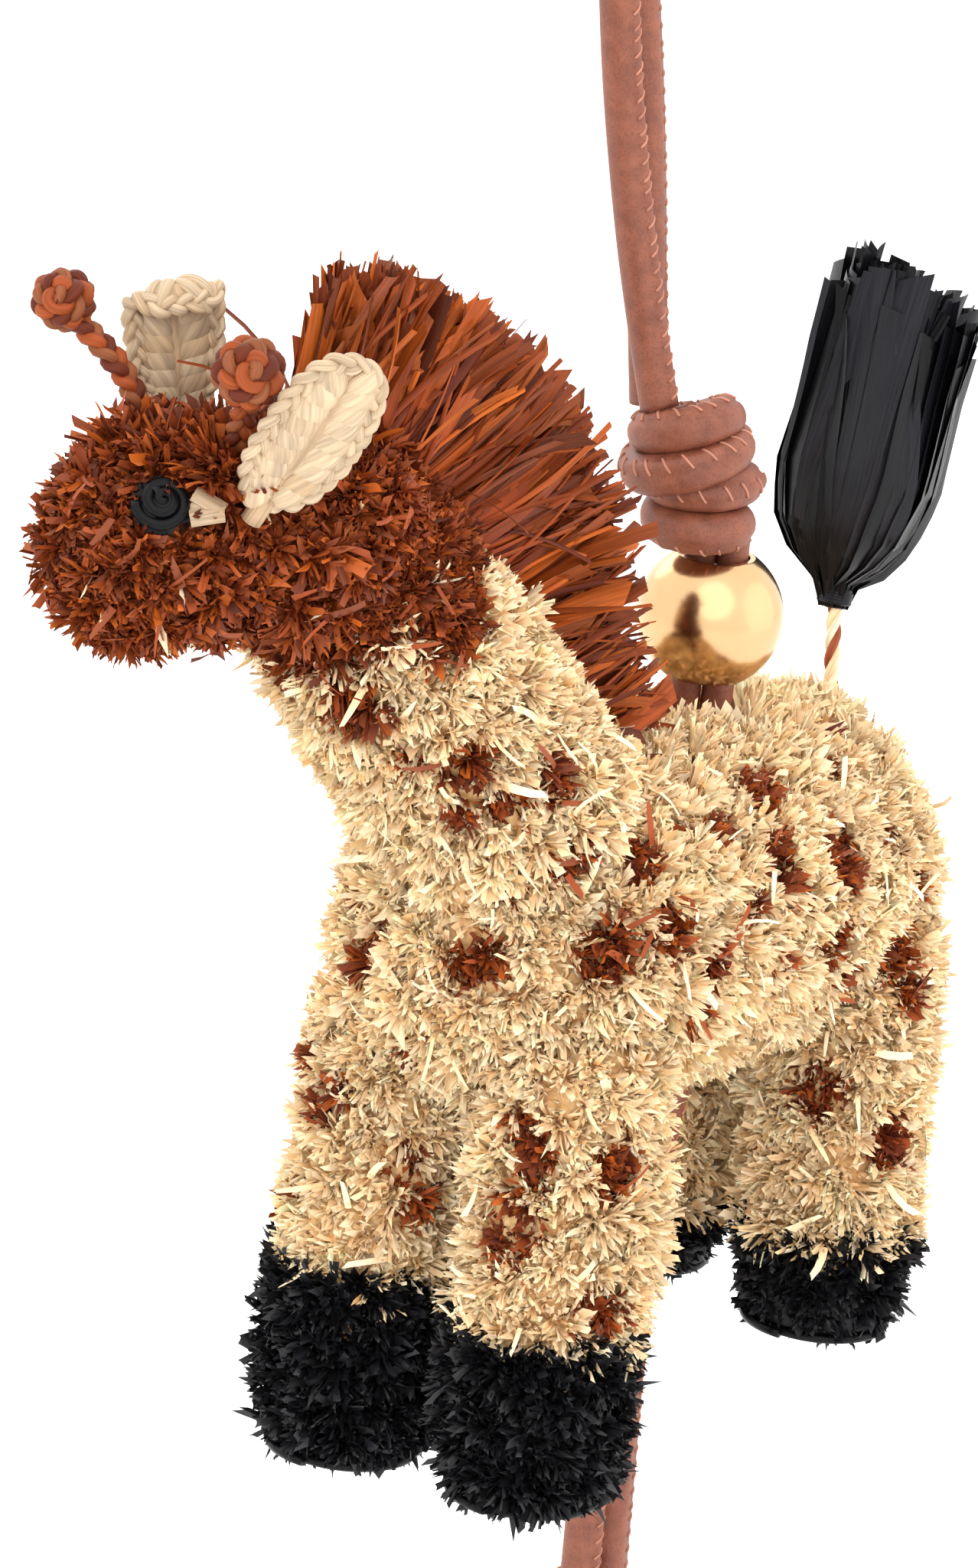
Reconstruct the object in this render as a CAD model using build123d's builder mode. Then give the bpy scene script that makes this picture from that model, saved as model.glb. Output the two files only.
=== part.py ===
"""Raffia giraffe bag charm, hung on a doubled leather cord with a knot and a gold bead.

The giraffe faces -X, its left side is towards -Y, and +Z is up. Places are measured from the
middle of its stance, at the height of the hind left sole. at() moves them into the part's frame, whose origin is
the point of the hanging loop that bears on its peg.
"""
import os
from math import cos, pi, radians, sin, tan

from build123d import *

os.makedirs("parts", exist_ok=True)

# ---- driving dimensions, mm ----
CORD_D = 5.2             # one strand of the leather cord
PEG_R = 7.0              # peg or hook that the loop hangs on
HANG = Vector(2.0, 17.3, 195.0)      # underside of the loop's top
AXIS_X = 12.0            # the cord runs down through the back here, on the middle plane

LEG_TOP = 47.0           # underside of the body where the legs are sewn in
SOLE_T = 1.2
SOLE_R = 10.0
HOOF_R = 12.4
LEG_FOOT_R = 12.0
LEG_TOP_R = 11.8
LEG_CORE_R = 6.5
PILE_T = 7.0             # depth of the raffia pile on the body

BEAD_R = 8.9
BEAD_Z = 93.3
BEAD_HALF = 7.5          # half the height between the bead's flat rims
BORE_R = 4.1
CORE_R = 1.9             # a strand where it is squeezed inside the bead and the body
CORE_GAP = 1.95          # half the spacing of the two squeezed strands
TUNNEL_R = 4.3
STOPPER_R = 7.1
STOPPER_Z = 60.0
KNOT_Z = 112.3
EXIT_Z = 36.0            # the tails leave the belly here
BEND_R = PEG_R + CORD_D / 2          # middle of the strand round the peg

HEAD = Vector(-70.5, 16.0, 115.0)
HEAD_YAW = 34.0          # turned towards the giraffe's right
HEAD_PITCH = -4.0
HEAD_ROLL = 10.0         # tipped towards the giraffe's left

EAR_LENGTH = 22.0
EAR_WIDTH = 10.6
EAR_T = 2.8
STEM_R = 1.5
TASSEL_FOOT = 12.5       # along the tassel's axis, from its start
TASSEL_TOP = 54.0
TASSEL_STEM_R = 2.2


# ---- frames ----
def at(x, y, z):
    """A place measured from the stance, in the part's frame."""
    return Vector(x, y, z) - HANG


ACROSS = Vector(cos(radians(60)), -sin(radians(60)), 0)     # side by side direction of the strands
TOWARDS = Vector(-sin(radians(60)), -cos(radians(60)), 0)   # front strand to back strand, reversed


def cord_at(across, towards, z):
    """A place on the cord, measured from its straight lower axis."""
    return at(AXIS_X, 0, z) + ACROSS * across + TOWARDS * towards


yaw, pitch, roll = radians(HEAD_YAW), radians(HEAD_PITCH), radians(HEAD_ROLL)
FORWARD = Vector(-cos(yaw) * cos(pitch), sin(yaw) * cos(pitch), sin(pitch))
level_left = Vector(0, 0, 1).cross(FORWARD).normalized()
level_up = FORWARD.cross(level_left)
LEFT = level_left * cos(roll) - level_up * sin(roll)
UP = level_up * cos(roll) + level_left * sin(roll)


def head_at(forward, left, up):
    """A place on the head, measured from the head's middle."""
    return at(HEAD.X, HEAD.Y, HEAD.Z) + FORWARD * forward + LEFT * left + UP * up


def head_dir(forward, left, up):
    """A direction in the head's own frame."""
    return (FORWARD * forward + LEFT * left + UP * up).normalized()


# ---- forms that several pieces share ----
def capsule(start, start_r, end, end_r):
    """Two balls joined by the cone that touches both."""
    axis = end - start
    length = axis.length
    lean = (start_r - end_r) / length
    rise = (1 - lean**2) ** 0.5
    side = axis.cross(Vector(0, 0, 1))
    if side.length < 1e-6:
        side = Vector(0, 1, 0)
    half = 0.5 ** 0.5
    with BuildPart() as form:
        with BuildSketch(Plane(origin=start, x_dir=axis, z_dir=side)):
            with BuildLine():
                ThreePointArc((-start_r, 0), (-start_r * half, start_r * half),
                              (start_r * lean, start_r * rise))
                Line((start_r * lean, start_r * rise), (length + end_r * lean, end_r * rise))
                ThreePointArc((length + end_r * lean, end_r * rise),
                              (length + end_r * half, end_r * half), (length + end_r, 0))
                Line((length + end_r, 0), (-start_r, 0))
            make_face()
        revolve(axis=Axis(start, axis))
    return form.part


def ball(centre, radius):
    with BuildPart() as form:
        with Locations(centre):
            Sphere(radius)
    return form.part


def column(foot, top, foot_r, top_r, low, high):
    """A leaning round column between two heights; foot and top are its middles at 0 and LEG_TOP."""
    with BuildPart() as form:
        for z in (low, high):
            t = z / LEG_TOP
            x = foot[0] + (top[0] - foot[0]) * t
            y = foot[1] + (top[1] - foot[1]) * t
            with BuildSketch(Plane(origin=at(x, y, z))):
                Circle(foot_r + (top_r - foot_r) * t)
        loft(ruled=True)
    return form.part


def rod(start, end, radius):
    with BuildPart() as form:
        with BuildSketch(Plane(origin=start, z_dir=end - start)):
            Circle(radius)
        extrude(amount=(end - start).length)
    return form.part


def save(piece, label):
    piece.part.label = label
    export_step(piece.part, f"parts/{label}.step")


def save_cut(solid, cutters, label):
    """Write a piece that is one form with its neighbours' room taken out of it."""
    with BuildPart() as piece:
        add(solid)
        for cutter in cutters:
            add(cutter, mode=Mode.SUBTRACT)
    save(piece, label)


torso_form = capsule(at(-23, 0, 62), 24, at(31.5, 0, 58.3), 22.6)
torso_core = capsule(at(-23, 0, 62), 24 - PILE_T, at(31.5, 0, 58.3), 22.6 - PILE_T)
neck_form = capsule(at(-34, 0, 79.5), 17, at(-55.5, 9, 108), 15)
neck_core = rod(at(-32, 0, 75), at(-60, 9.5, 112), 8.5)
head_form = capsule(head_at(-9, 0, 0), 15, head_at(11, 0, 0), 13)
head_core = capsule(head_at(-9, 0, 0), 8.5, head_at(9, 0, 0), 6.5)

# ---- legs, hooves and soles ----
# each leg's middle at height 0 and at LEG_TOP, its sole's height and its hoof's top
LEGS = {
    "front_left": ((-34.0, -13.5), (-31.0, -12.2), -3.0, 18.0),
    "front_right": ((-33.6, 12.0), (-29.4, 12.6), -4.5, 18.5),
    "hind_left": ((36.0, -13.0), (35.4, -12.2), 0.0, 12.5),
    "hind_right": ((36.0, 13.2), (35.2, 12.4), 1.5, 9.5),
}

leg_seats = []
for leg, (foot, top, sole_z, hoof_top) in LEGS.items():
    leg_seats.append(column(foot, top, LEG_FOOT_R, LEG_TOP_R, 30, LEG_TOP))
    leg_core = column(foot, top, LEG_CORE_R, LEG_CORE_R, sole_z + SOLE_T, LEG_TOP)
    leg_form = column(foot, top, LEG_FOOT_R, LEG_TOP_R, hoof_top, LEG_TOP)
    save_cut(leg_core, [], f"{leg}_leg_stuffing")
    save_cut(leg_form, [leg_core], f"{leg}_leg_pile")

    with BuildPart() as hoof:
        with BuildSketch(Plane(origin=at(foot[0], foot[1], sole_z + SOLE_T))):
            Circle(HOOF_R)
        extrude(amount=hoof_top - sole_z - SOLE_T)
        fillet(hoof.edges().group_by(Axis.Z)[0], radius=2.4)
        add(leg_core, mode=Mode.SUBTRACT)
    save(hoof, f"{leg}_hoof_pile")

    with BuildPart() as sole:
        with BuildSketch(Plane(origin=at(foot[0], foot[1], sole_z))):
            Circle(SOLE_R)
        extrude(amount=SOLE_T)
    save(sole, f"{leg}_sole")

# ---- tail: a twisted raffia cord, its binding and the tassel, whose own axis runs along TAIL ----
TAIL_ROOT = at(47.4, 0.9, 74.5)
TASSEL_START = at(46.6, 3.5, 74.8)   # the tassel's axis is measured from here
TAIL = Vector(0.28, 0, 1).normalized()
tail_socket = ball(TAIL_ROOT, 2.0)


def along_tail(distance):
    return Plane(origin=TASSEL_START + TAIL * distance, z_dir=TAIL)


with BuildPart() as tail_tassel:
    with BuildSketch(Plane(origin=TASSEL_START, x_dir=TAIL, z_dir=Vector(0, 1, 0))):
        with BuildLine():
            Polyline((TASSEL_FOOT, 0), (TASSEL_FOOT, TASSEL_STEM_R), (TASSEL_FOOT + 2.5, TASSEL_STEM_R))
            Spline((TASSEL_FOOT + 2.5, TASSEL_STEM_R), (20.6, 8.2), (28, 10.6), (40, 10.4),
                   (TASSEL_TOP, 10.9))
            Polyline((TASSEL_TOP, 10.9), (TASSEL_TOP, 0), (TASSEL_FOOT, 0))
        make_face()
    revolve(axis=Axis(TASSEL_START, TAIL))
save(tail_tassel, "tail_tassel")

with BuildPart() as tail_cord:
    add(ball(TAIL_ROOT, 1.6))
    add(rod(TAIL_ROOT, TASSEL_START + TAIL * (TASSEL_FOOT + 0.6), 0.9))
    add(tail_tassel.part, mode=Mode.SUBTRACT)
save(tail_cord, "tail_cord")

with BuildPart() as tassel_binding:
    with BuildSketch(along_tail(TASSEL_FOOT)):
        Circle(TASSEL_STEM_R + 0.8)
        Circle(TASSEL_STEM_R, mode=Mode.SUBTRACT)
    extrude(amount=2.4)
save(tassel_binding, "tassel_binding")

# ---- torso and neck ----
with BuildPart() as cord_way:
    add(rod(at(AXIS_X, 0, 30), at(AXIS_X, 0, 95), TUNNEL_R))
    add(ball(at(AXIS_X, 0, STOPPER_Z), STOPPER_R + 0.5))

save_cut(torso_core, [cord_way.part, *leg_seats], "torso_stuffing")
save_cut(torso_form, [torso_core, neck_core, cord_way.part, *leg_seats, tail_socket], "torso_pile")
save_cut(neck_core, [torso_core, head_core], "neck_stuffing")
save_cut(neck_form, [torso_form, head_form, neck_core], "neck_pile")

# ---- eyes: a domed coil of glossy raffia with a stitched corner behind it ----
eyes = []
for side, name, eye_rise in ((1, "left", 8.6), (-1, "right", 4.6)):
    eye_out = head_dir(2.5, 9 * side, eye_rise)
    eye_seat = head_at(11, 0, 0) + eye_out * 12.0
    with BuildPart() as eye:
        with BuildSketch(Plane(origin=eye_seat, z_dir=eye_out)):
            Circle(3.9)
        extrude(amount=2.6)
        fillet(eye.edges().sort_by(Axis(eye_seat, eye_out))[-1], radius=1.5)
    save(eye, f"{name}_eye")

    corner_out = head_dir(-2.5, 9 * side, eye_rise - 1.6)
    corner_seat = head_at(11, 0, 0) + corner_out * 12.2
    with BuildPart() as eye_corner:
        with BuildSketch(Plane(origin=corner_seat, z_dir=corner_out)):
            Circle(2.1)
        extrude(amount=1.9)
        add(eye.part, mode=Mode.SUBTRACT)
    save(eye_corner, f"{name}_eye_corner")
    eyes += [eye.part, eye_corner.part]

# ---- ears: a small ball in the pile carries a flat, long oval blade ----
ear_sockets = []
for side, name, lean in ((1, "left", (-0.38, 0.20, 0.90)), (-1, "right", (0.06, -0.20, 0.90))):
    ear_root = head_at(3.3, 12 * side, 9)
    tip = head_dir(*lean)
    flat = (LEFT - tip * LEFT.dot(tip)).normalized()
    ear_sockets.append(ball(ear_root, 2.4))
    with BuildPart() as ear:
        add(ball(ear_root, 2.0))
        add(rod(ear_root, ear_root + tip * 4, 1.2))
        middle = ear_root + tip * (2.0 + EAR_LENGTH / 2)
        with BuildSketch(Plane(origin=middle, x_dir=tip, z_dir=flat)):
            Ellipse(EAR_LENGTH / 2, EAR_WIDTH / 2)
        extrude(amount=EAR_T / 2, both=True)
    save(ear, f"{name}_ear")

# ---- ossicones: a braided stem in a small ball seat, with a coiled knob on top ----
ossicone_sockets = []
OSSICONES = (
    ("left", (4.5, 7.0, 11.8), (2.3, 3.9, 13.4), 10.6, 4.3),
    ("right", (11.2, -6.6, 11.5), (6.0, -8.6, 11.6), 12.4, 3.8),
)
for name, root, lean, length, knob_r in OSSICONES:
    stem_root = head_at(*root)
    stem_top = stem_root + head_dir(*lean) * length
    knob_middle = stem_root + head_dir(*lean) * (length + knob_r - 0.6)
    ossicone_sockets.append(ball(stem_root, 2.2))
    knob_form = ball(knob_middle, knob_r)
    with BuildPart() as stem:
        add(ball(stem_root, 1.8))
        add(rod(stem_root, stem_top + head_dir(*lean), STEM_R))
        add(knob_form, mode=Mode.SUBTRACT)
    save(stem, f"{name}_ossicone_stem")
    with BuildPart() as knob:
        add(knob_form)
    save(knob, f"{name}_ossicone_knob")

# ---- head ----
chin_form = ball(head_at(9, 2, -9.5), 4.6)
save_cut(head_core, [], "head_stuffing")
save_cut(chin_form, [head_core], "chin_tuft")
save_cut(head_form, [head_core, neck_core, chin_form, *eyes, *ear_sockets, *ossicone_sockets],
         "head_pile")

# ---- mane: a sewn band along the crest and the fan of strips that stands on it ----
MANE_PLANE = Plane(origin=at(-32, 2, 0), x_dir=Vector(0.977, -0.216, 0),
                   z_dir=Vector(-0.216, -0.977, 0))
MANE_FOOT = [(-41, 125), (-24, 119), (-13, 112), (-4, 99), (6, 85), (27, 80)]
MANE_SEAM = [(-43, 133), (-25, 129.5), (-10, 122), (2, 107), (13.5, 93.5), (28, 88.5)]
MANE_TIPS = [(27, 91), (21, 100), (17, 112), (8, 125.5), (-9, 137), (-25, 144.5), (-38, 144.5),
             (-43.5, 139)]


def crest_plate(outline, thickness):
    with BuildPart() as form:
        with BuildSketch(MANE_PLANE):
            with BuildLine():
                Polyline(*outline, close=True)
            make_face()
        extrude(amount=thickness / 2, both=True)
    return form.part


crest_neighbours = [torso_form, neck_form, head_form]
save_cut(crest_plate(MANE_FOOT + MANE_SEAM[::-1], 4.0), crest_neighbours, "mane_band")
save_cut(crest_plate(MANE_SEAM + MANE_TIPS, 7.0), crest_neighbours, "mane")

# ---- bead, with flat rims round its bore ----
with BuildPart() as bead:
    with Locations(at(AXIS_X, 0, BEAD_Z)):
        Sphere(BEAD_R)
    split(bisect_by=Plane(origin=at(AXIS_X, 0, BEAD_Z + BEAD_HALF)), keep=Keep.BOTTOM)
    split(bisect_by=Plane(origin=at(AXIS_X, 0, BEAD_Z - BEAD_HALF)), keep=Keep.TOP)
    fillet(bead.edges().filter_by(GeomType.CIRCLE), radius=0.3)
    with BuildSketch(Plane(origin=at(AXIS_X, 0, BEAD_Z - BEAD_HALF))):
        Circle(BORE_R)
    extrude(amount=2 * BEAD_HALF, mode=Mode.SUBTRACT)
save(bead, "bead")

# ---- leather cord: knot, squeezed strands, stopper, hanging loop and tails ----
with BuildPart() as cord_knot:
    knot_coils = ((-5.2, 4.2, 5.8, 22), (-4.6, -0.6, 6.2, -24), (-2.4, -5.2, 4.8, 10))
    for across, rise, coil_r, tilt in knot_coils:
        middle = cord_at(across, 0, KNOT_Z + rise)
        coil_up = Vector(0, 0, 1) * cos(radians(tilt)) + ACROSS * sin(radians(tilt))
        with Locations(Plane(origin=middle, z_dir=coil_up).location):
            Torus(coil_r, CORD_D / 2)
    with Locations(cord_at(-4.8, 0, KNOT_Z)):
        Sphere(6.8)
    add(rod(cord_at(0, 0, KNOT_Z - 9.3), cord_at(-2, 0, KNOT_Z), 3.8))
save(cord_knot, "cord_knot")

with BuildPart() as stopper_knot:
    add(ball(at(AXIS_X, 0, STOPPER_Z), STOPPER_R))
save(stopper_knot, "stopper_knot")

with BuildPart() as cord_core:
    for across in (-CORE_GAP, CORE_GAP):
        add(rod(cord_at(across, 0, EXIT_Z), cord_at(across, 0, KNOT_Z - 6), CORE_R))
    add(cord_knot.part, mode=Mode.SUBTRACT)
    add(stopper_knot.part, mode=Mode.SUBTRACT)
save(cord_core, "cord_core")


def corner_radii(points):
    """Each corner's arc: 0.45 of its shorter run, over the tangent of half the turn."""
    radii = []
    for before, corner, after in zip(points, points[1:], points[2:]):
        turn = (corner - before).get_angle(after - corner)
        run = min((corner - before).length, (after - corner).length)
        radii.append(0.45 * run / tan(radians(turn / 2)))
    return radii


def strand(points, label):
    """A tube of straight runs joined by tangent arcs."""
    radii = corner_radii(points)
    with BuildPart() as tube:
        with BuildLine() as route:
            FilletPolyline(*points, radius=radii)
        with BuildSketch(Plane(origin=points[0], z_dir=points[1] - points[0])):
            Circle(CORD_D / 2)
        sweep(path=route.wire())
    length = route.wire().length
    area = pi * CORD_D**2 / 4
    print(label, "radii", [round(radius, 1) for radius in radii])
    print(label, f"length {length:.1f} mm, volume over section times length",
          round(tube.part.volume / (area * length), 4))
    return tube.part


# the loop's top touches the peg on three runs, at its crown and 60 degrees to either side
top_z = HANG.Z + CORD_D / 2
crown = BEND_R * tan(radians(30))
loop_route = [
    cord_at(-8.8, 2.8, 119), cord_at(-12.2, 2.8, 132), cord_at(-15.2, 2.9, 146),
    cord_at(-17.7, 3.3, 160), cord_at(-19.5, 6.8, 174.5), cord_at(-20.0, 2 * crown, top_z - BEND_R),
    cord_at(-20.0, crown, top_z), cord_at(-20.0, -crown, top_z),
    cord_at(-20.0, -2 * crown, top_z - BEND_R), cord_at(-17.8, -6.8, 174.5),
    cord_at(-15.6, -3.3, 160), cord_at(-13.9, -2.9, 146), cord_at(-12.8, -2.8, 132),
    cord_at(-11.8, -2.8, 119),
]
save_cut(strand(loop_route, "cord_loop"), [cord_knot.part], "cord_loop")

front_tail_route = [
    cord_at(-2.3, 1.5, EXIT_Z), cord_at(-3.2, 2.8, 19), cord_at(-3.2, 2.8, -7),
    cord_at(-2.9, 3.2, -31),
]
rear_tail_route = [
    cord_at(2.0, -1.7, EXIT_Z), cord_at(-0.6, -2.8, 19), cord_at(0.1, -2.8, -14),
    cord_at(0.8, -3.0, -43),
]
for name, route_points in (("front", front_tail_route), ("rear", rear_tail_route)):
    with BuildPart() as tail_knot:
        with Locations(route_points[-1] - Vector(0, 0, 3.2)):
            Sphere(4.4)
    save(tail_knot, f"{name}_tail_knot")
    save_cut(strand(route_points, f"{name}_cord_tail"), [tail_knot.part, cord_core.part], f"{name}_cord_tail")
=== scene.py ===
"""Looks of the raffia giraffe bag charm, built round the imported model.

Shapes are worked out in millimetres from the middle of the stance on the sole plane, as the part's
source has them, and add_mesh() moves them into the frame, in metres. The giraffe faces -X and its
left side is towards -Y.
"""
import math

import bpy
import numpy as np
from mathutils import Matrix, Vector


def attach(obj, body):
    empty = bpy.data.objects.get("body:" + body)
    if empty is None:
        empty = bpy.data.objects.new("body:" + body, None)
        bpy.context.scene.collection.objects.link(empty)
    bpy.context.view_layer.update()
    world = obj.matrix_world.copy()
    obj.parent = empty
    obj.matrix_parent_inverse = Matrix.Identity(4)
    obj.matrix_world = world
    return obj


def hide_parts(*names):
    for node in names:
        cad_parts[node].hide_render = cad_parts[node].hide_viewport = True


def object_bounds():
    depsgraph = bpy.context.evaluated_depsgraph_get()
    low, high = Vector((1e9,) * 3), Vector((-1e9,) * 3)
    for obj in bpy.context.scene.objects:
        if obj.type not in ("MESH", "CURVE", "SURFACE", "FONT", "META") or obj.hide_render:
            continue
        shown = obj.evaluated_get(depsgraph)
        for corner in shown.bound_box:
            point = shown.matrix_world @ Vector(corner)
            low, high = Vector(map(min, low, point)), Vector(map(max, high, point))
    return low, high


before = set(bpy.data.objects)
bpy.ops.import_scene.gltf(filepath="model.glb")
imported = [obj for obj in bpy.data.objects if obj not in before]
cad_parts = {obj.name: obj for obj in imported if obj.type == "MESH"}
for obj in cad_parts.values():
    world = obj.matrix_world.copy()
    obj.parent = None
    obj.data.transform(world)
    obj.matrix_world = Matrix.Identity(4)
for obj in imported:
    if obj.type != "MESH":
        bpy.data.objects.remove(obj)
cad_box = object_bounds()
rng = np.random.default_rng(20)

MM = 0.001
HANG = np.array((2.0, 17.3, 195.0))      # the frame's origin, measured from the stance
GOLDEN = math.pi * (3 - 5 ** 0.5)
TAU = 2 * math.pi

CORD_D = 5.2
AXIS_X = 12.0             # the cord goes up over this place on the back
PEG_R = 7.0
KNOT_Z = 112.3
EXIT_Z = 36.0
LEG_TOP = 47.0
PILE_DEPTH = 3.4          # how deep the tufts are rooted under the outer surface
EAR_LENGTH = 22.0
EAR_WIDTH = 10.6
EAR_FOLD_R = 1.5
EAR_ROWS = 9

# linear colours
CREAM = (0.95, 0.79, 0.55)
STRAW = (0.93, 0.69, 0.41)
TAN = (0.74, 0.47, 0.21)
RUST = (0.31, 0.062, 0.014)
ORANGE = (0.50, 0.112, 0.013)
DUSKY = (0.22, 0.056, 0.022)
BARK = (0.25, 0.074, 0.026)
UMBER = (0.12, 0.020, 0.006)
INK = (0.004, 0.004, 0.005)
COAL = (0.014, 0.014, 0.018)
THREAD = (0.47, 0.20, 0.13)
EAR_CREAM = (0.55, 0.41, 0.265)
EAR_STRAW = (0.50, 0.345, 0.205)


# ---- vectors and frames ----
def unit(v):
    return v / np.maximum(np.linalg.norm(v, axis=-1, keepdims=True), 1e-9)


def dot(a, b):
    return np.sum(a * b, axis=-1, keepdims=True)


def to_frame(points):
    return (np.asarray(points, float) - HANG) * MM


def walked(line):
    """How far along a line each of its points is."""
    return np.concatenate(([0], np.cumsum(np.linalg.norm(np.diff(line, axis=0), axis=1))))


def polyline(points, share):
    """Places at shares of the way along a polyline."""
    points = np.asarray(points, float)
    run = walked(points)
    run /= run[-1]
    return np.stack([np.interp(share, run, points[:, i]) for i in range(points.shape[1])], -1)


def sideways(way):
    """Two directions square to each way and to each other."""
    helper = np.where(np.abs(way[..., 2:3]) > 0.9, (1.0, 0.0, 0.0), (0.0, 0.0, 1.0))
    first = unit(np.cross(way, helper))
    return first, np.cross(way, first)


def turned(first, second, angle):
    """first, turned towards second by each angle."""
    return first * np.cos(angle) + second * np.sin(angle)


# the two strands of the cord lie across the camera's view and towards it
UP = np.array((0.0, 0.0, 1.0))
ACROSS = np.array((math.cos(math.radians(60)), -math.sin(math.radians(60)), 0))
TOWARDS = np.array((-math.sin(math.radians(60)), -math.cos(math.radians(60)), 0))


def cord_at(across, towards, z):
    return np.array((AXIS_X, 0, z)) + ACROSS * across + TOWARDS * towards


yaw, pitch, roll = (math.radians(angle) for angle in (34, -4, 10))
HEAD = np.array((-70.5, 16.0, 115.0))
FORWARD = np.array((-math.cos(yaw) * math.cos(pitch), math.sin(yaw) * math.cos(pitch), math.sin(pitch)))
level_left = unit(np.cross(UP, FORWARD))
level_up = np.cross(FORWARD, level_left)
LEFT = level_left * math.cos(roll) - level_up * math.sin(roll)
HEAD_UP = level_up * math.cos(roll) + level_left * math.sin(roll)


def head_dir(forward, left, up):
    return unit(FORWARD * forward + LEFT * left + HEAD_UP * up)


def head_at(forward, left, up):
    return HEAD + FORWARD * forward + LEFT * left + HEAD_UP * up


# ---- camera, light and floor ----
VIEW_AZIMUTH, VIEW_ELEVATION, VIEW_ROLL = (math.radians(angle) for angle in (-60, 17, 6))
VIEW_DISTANCE = 1000.0
VIEW_HEIGHT = 184.4                      # seen at the target, in mm
VIEW_TARGET = np.array((-21.45, 8.63, 76.83))
SENSOR = 36
# each lamp's place from the target in metres, its size and its power
LAMPS = {
    "key": ((-0.75, -0.55, 0.75), 1.4, 3.6),
    "fill": ((0.55, -0.95, 0.25), 1.3, 1.6),
    "back": ((0.4, 0.9, 0.6), 0.8, 2.2),
}
FLOOR_DROP = 0.06
FLOOR_HALF = 6.0


def place_camera():
    back = np.array((math.sin(VIEW_AZIMUTH) * math.cos(VIEW_ELEVATION),
                     -math.cos(VIEW_AZIMUTH) * math.cos(VIEW_ELEVATION), math.sin(VIEW_ELEVATION)))
    level = np.array((math.cos(VIEW_AZIMUTH), math.sin(VIEW_AZIMUTH), 0))
    rise = np.cross(back, level)
    right = turned(level, rise, VIEW_ROLL)
    up = rise * math.cos(VIEW_ROLL) - level * math.sin(VIEW_ROLL)
    data = bpy.data.cameras.new("camera")
    data.sensor_width = SENSOR
    data.lens = SENSOR * VIEW_DISTANCE / VIEW_HEIGHT
    data.clip_start = 0.01
    data.clip_end = 20
    camera = bpy.data.objects.new("camera", data)
    place = to_frame(VIEW_TARGET + back * VIEW_DISTANCE)
    camera.matrix_world = Matrix([(right[i], up[i], back[i], place[i]) for i in range(3)] + [(0, 0, 0, 1)])
    bpy.context.scene.collection.objects.link(camera)
    bpy.context.scene.camera = camera


def light_studio():
    bpy.context.scene.view_settings.view_transform = "Standard"
    world = bpy.data.worlds.new("studio")
    bpy.context.scene.world = world
    world.use_nodes = True
    sky = world.node_tree.nodes["Background"]
    sky.inputs["Color"].default_value = (1.0, 0.995, 0.985, 1)
    sky.inputs["Strength"].default_value = 1.68
    for name, (offset, size, power) in LAMPS.items():
        lamp = bpy.data.lights.new(name, "AREA")
        lamp.shape = "DISK"
        lamp.size = size
        lamp.energy = power
        obj = bpy.data.objects.new(name, lamp)
        obj.location = to_frame(VIEW_TARGET) + np.array(offset)
        obj.rotation_mode = "QUATERNION"
        obj.rotation_quaternion = Vector(-np.array(offset)).to_track_quat("-Z", "Y")
        bpy.context.scene.collection.objects.link(obj)


def lay_floor():
    low, half = cad_box[0].z - FLOOR_DROP, FLOOR_HALF
    mesh = bpy.data.meshes.new("floor")
    mesh.from_pydata([(-half, -half, low), (half, -half, low), (half, half, low), (-half, half, low)], [],
                     [(0, 1, 2, 3)])
    floor = bpy.data.objects.new("floor", mesh)
    bpy.context.scene.collection.objects.link(floor)
    mesh.materials.append(floor_material())


# ---- materials ----
class Look:
    """A principled material. Its nodes' inputs are numbers, colours or other nodes' outputs."""

    def __init__(self, name):
        self.material = bpy.data.materials.new(name)
        self.material.use_nodes = True
        self.tree = self.material.node_tree

    def fill(self, node, inputs):
        for key, value in inputs.items():
            if isinstance(value, bpy.types.NodeSocket):
                self.tree.links.new(value, node.inputs[key])
            else:
                node.inputs[key].default_value = value

    def node(self, kind, output, inputs, **settings):
        """A new node's output."""
        node = self.tree.nodes.new(kind)
        for key, value in settings.items():
            setattr(node, key, value)
        self.fill(node, inputs)
        return node.outputs[output]

    def carried_by_mesh(self, name, output):
        return self.node("ShaderNodeAttribute", output, {}, attribute_name=name)

    def place(self):
        return self.node("ShaderNodeTexCoord", "Object", {})

    def noise(self, place, scale, detail):
        inputs = {"Vector": place, "Scale": scale, "Detail": detail}
        return self.node("ShaderNodeTexNoise", "Fac", inputs)

    def ramp(self, share, low, high, start=0.0, end=1.0):
        colour = self.node("ShaderNodeValToRGB", "Color", {"Fac": share})
        for element, place, tone in zip(colour.node.color_ramp.elements, (start, end), (low, high)):
            element.position = place
            element.color = (*tone, 1)
        return colour

    def spread(self, value, low, high, start=0.0, end=1.0):
        """A value's range from start to end, made into low to high."""
        inputs = {"Value": value, "From Min": start, "From Max": end, "To Min": low, "To Max": high}
        return self.node("ShaderNodeMapRange", "Result", inputs)

    def scaled(self, colour, scale):
        inputs = {0: colour, "Scale": scale}
        return self.node("ShaderNodeVectorMath", "Vector", inputs, operation="SCALE")

    def bump(self, height, strength, depth):
        inputs = {"Height": height, "Strength": strength, "Distance": depth}
        return self.node("ShaderNodeBump", "Normal", inputs)

    def done(self, inputs):
        self.fill(self.tree.nodes["Principled BSDF"], inputs)
        return self.material


def floor_material():
    look = Look("studio_floor")
    cloud = look.node("ShaderNodeTexNoise", "Fac", {"Scale": 3.0})
    pale = look.ramp(cloud, (0.94, 0.94, 0.94), (0.97, 0.97, 0.97))
    return look.done({"Base Color": pale, "Roughness": 0.9})


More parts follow.
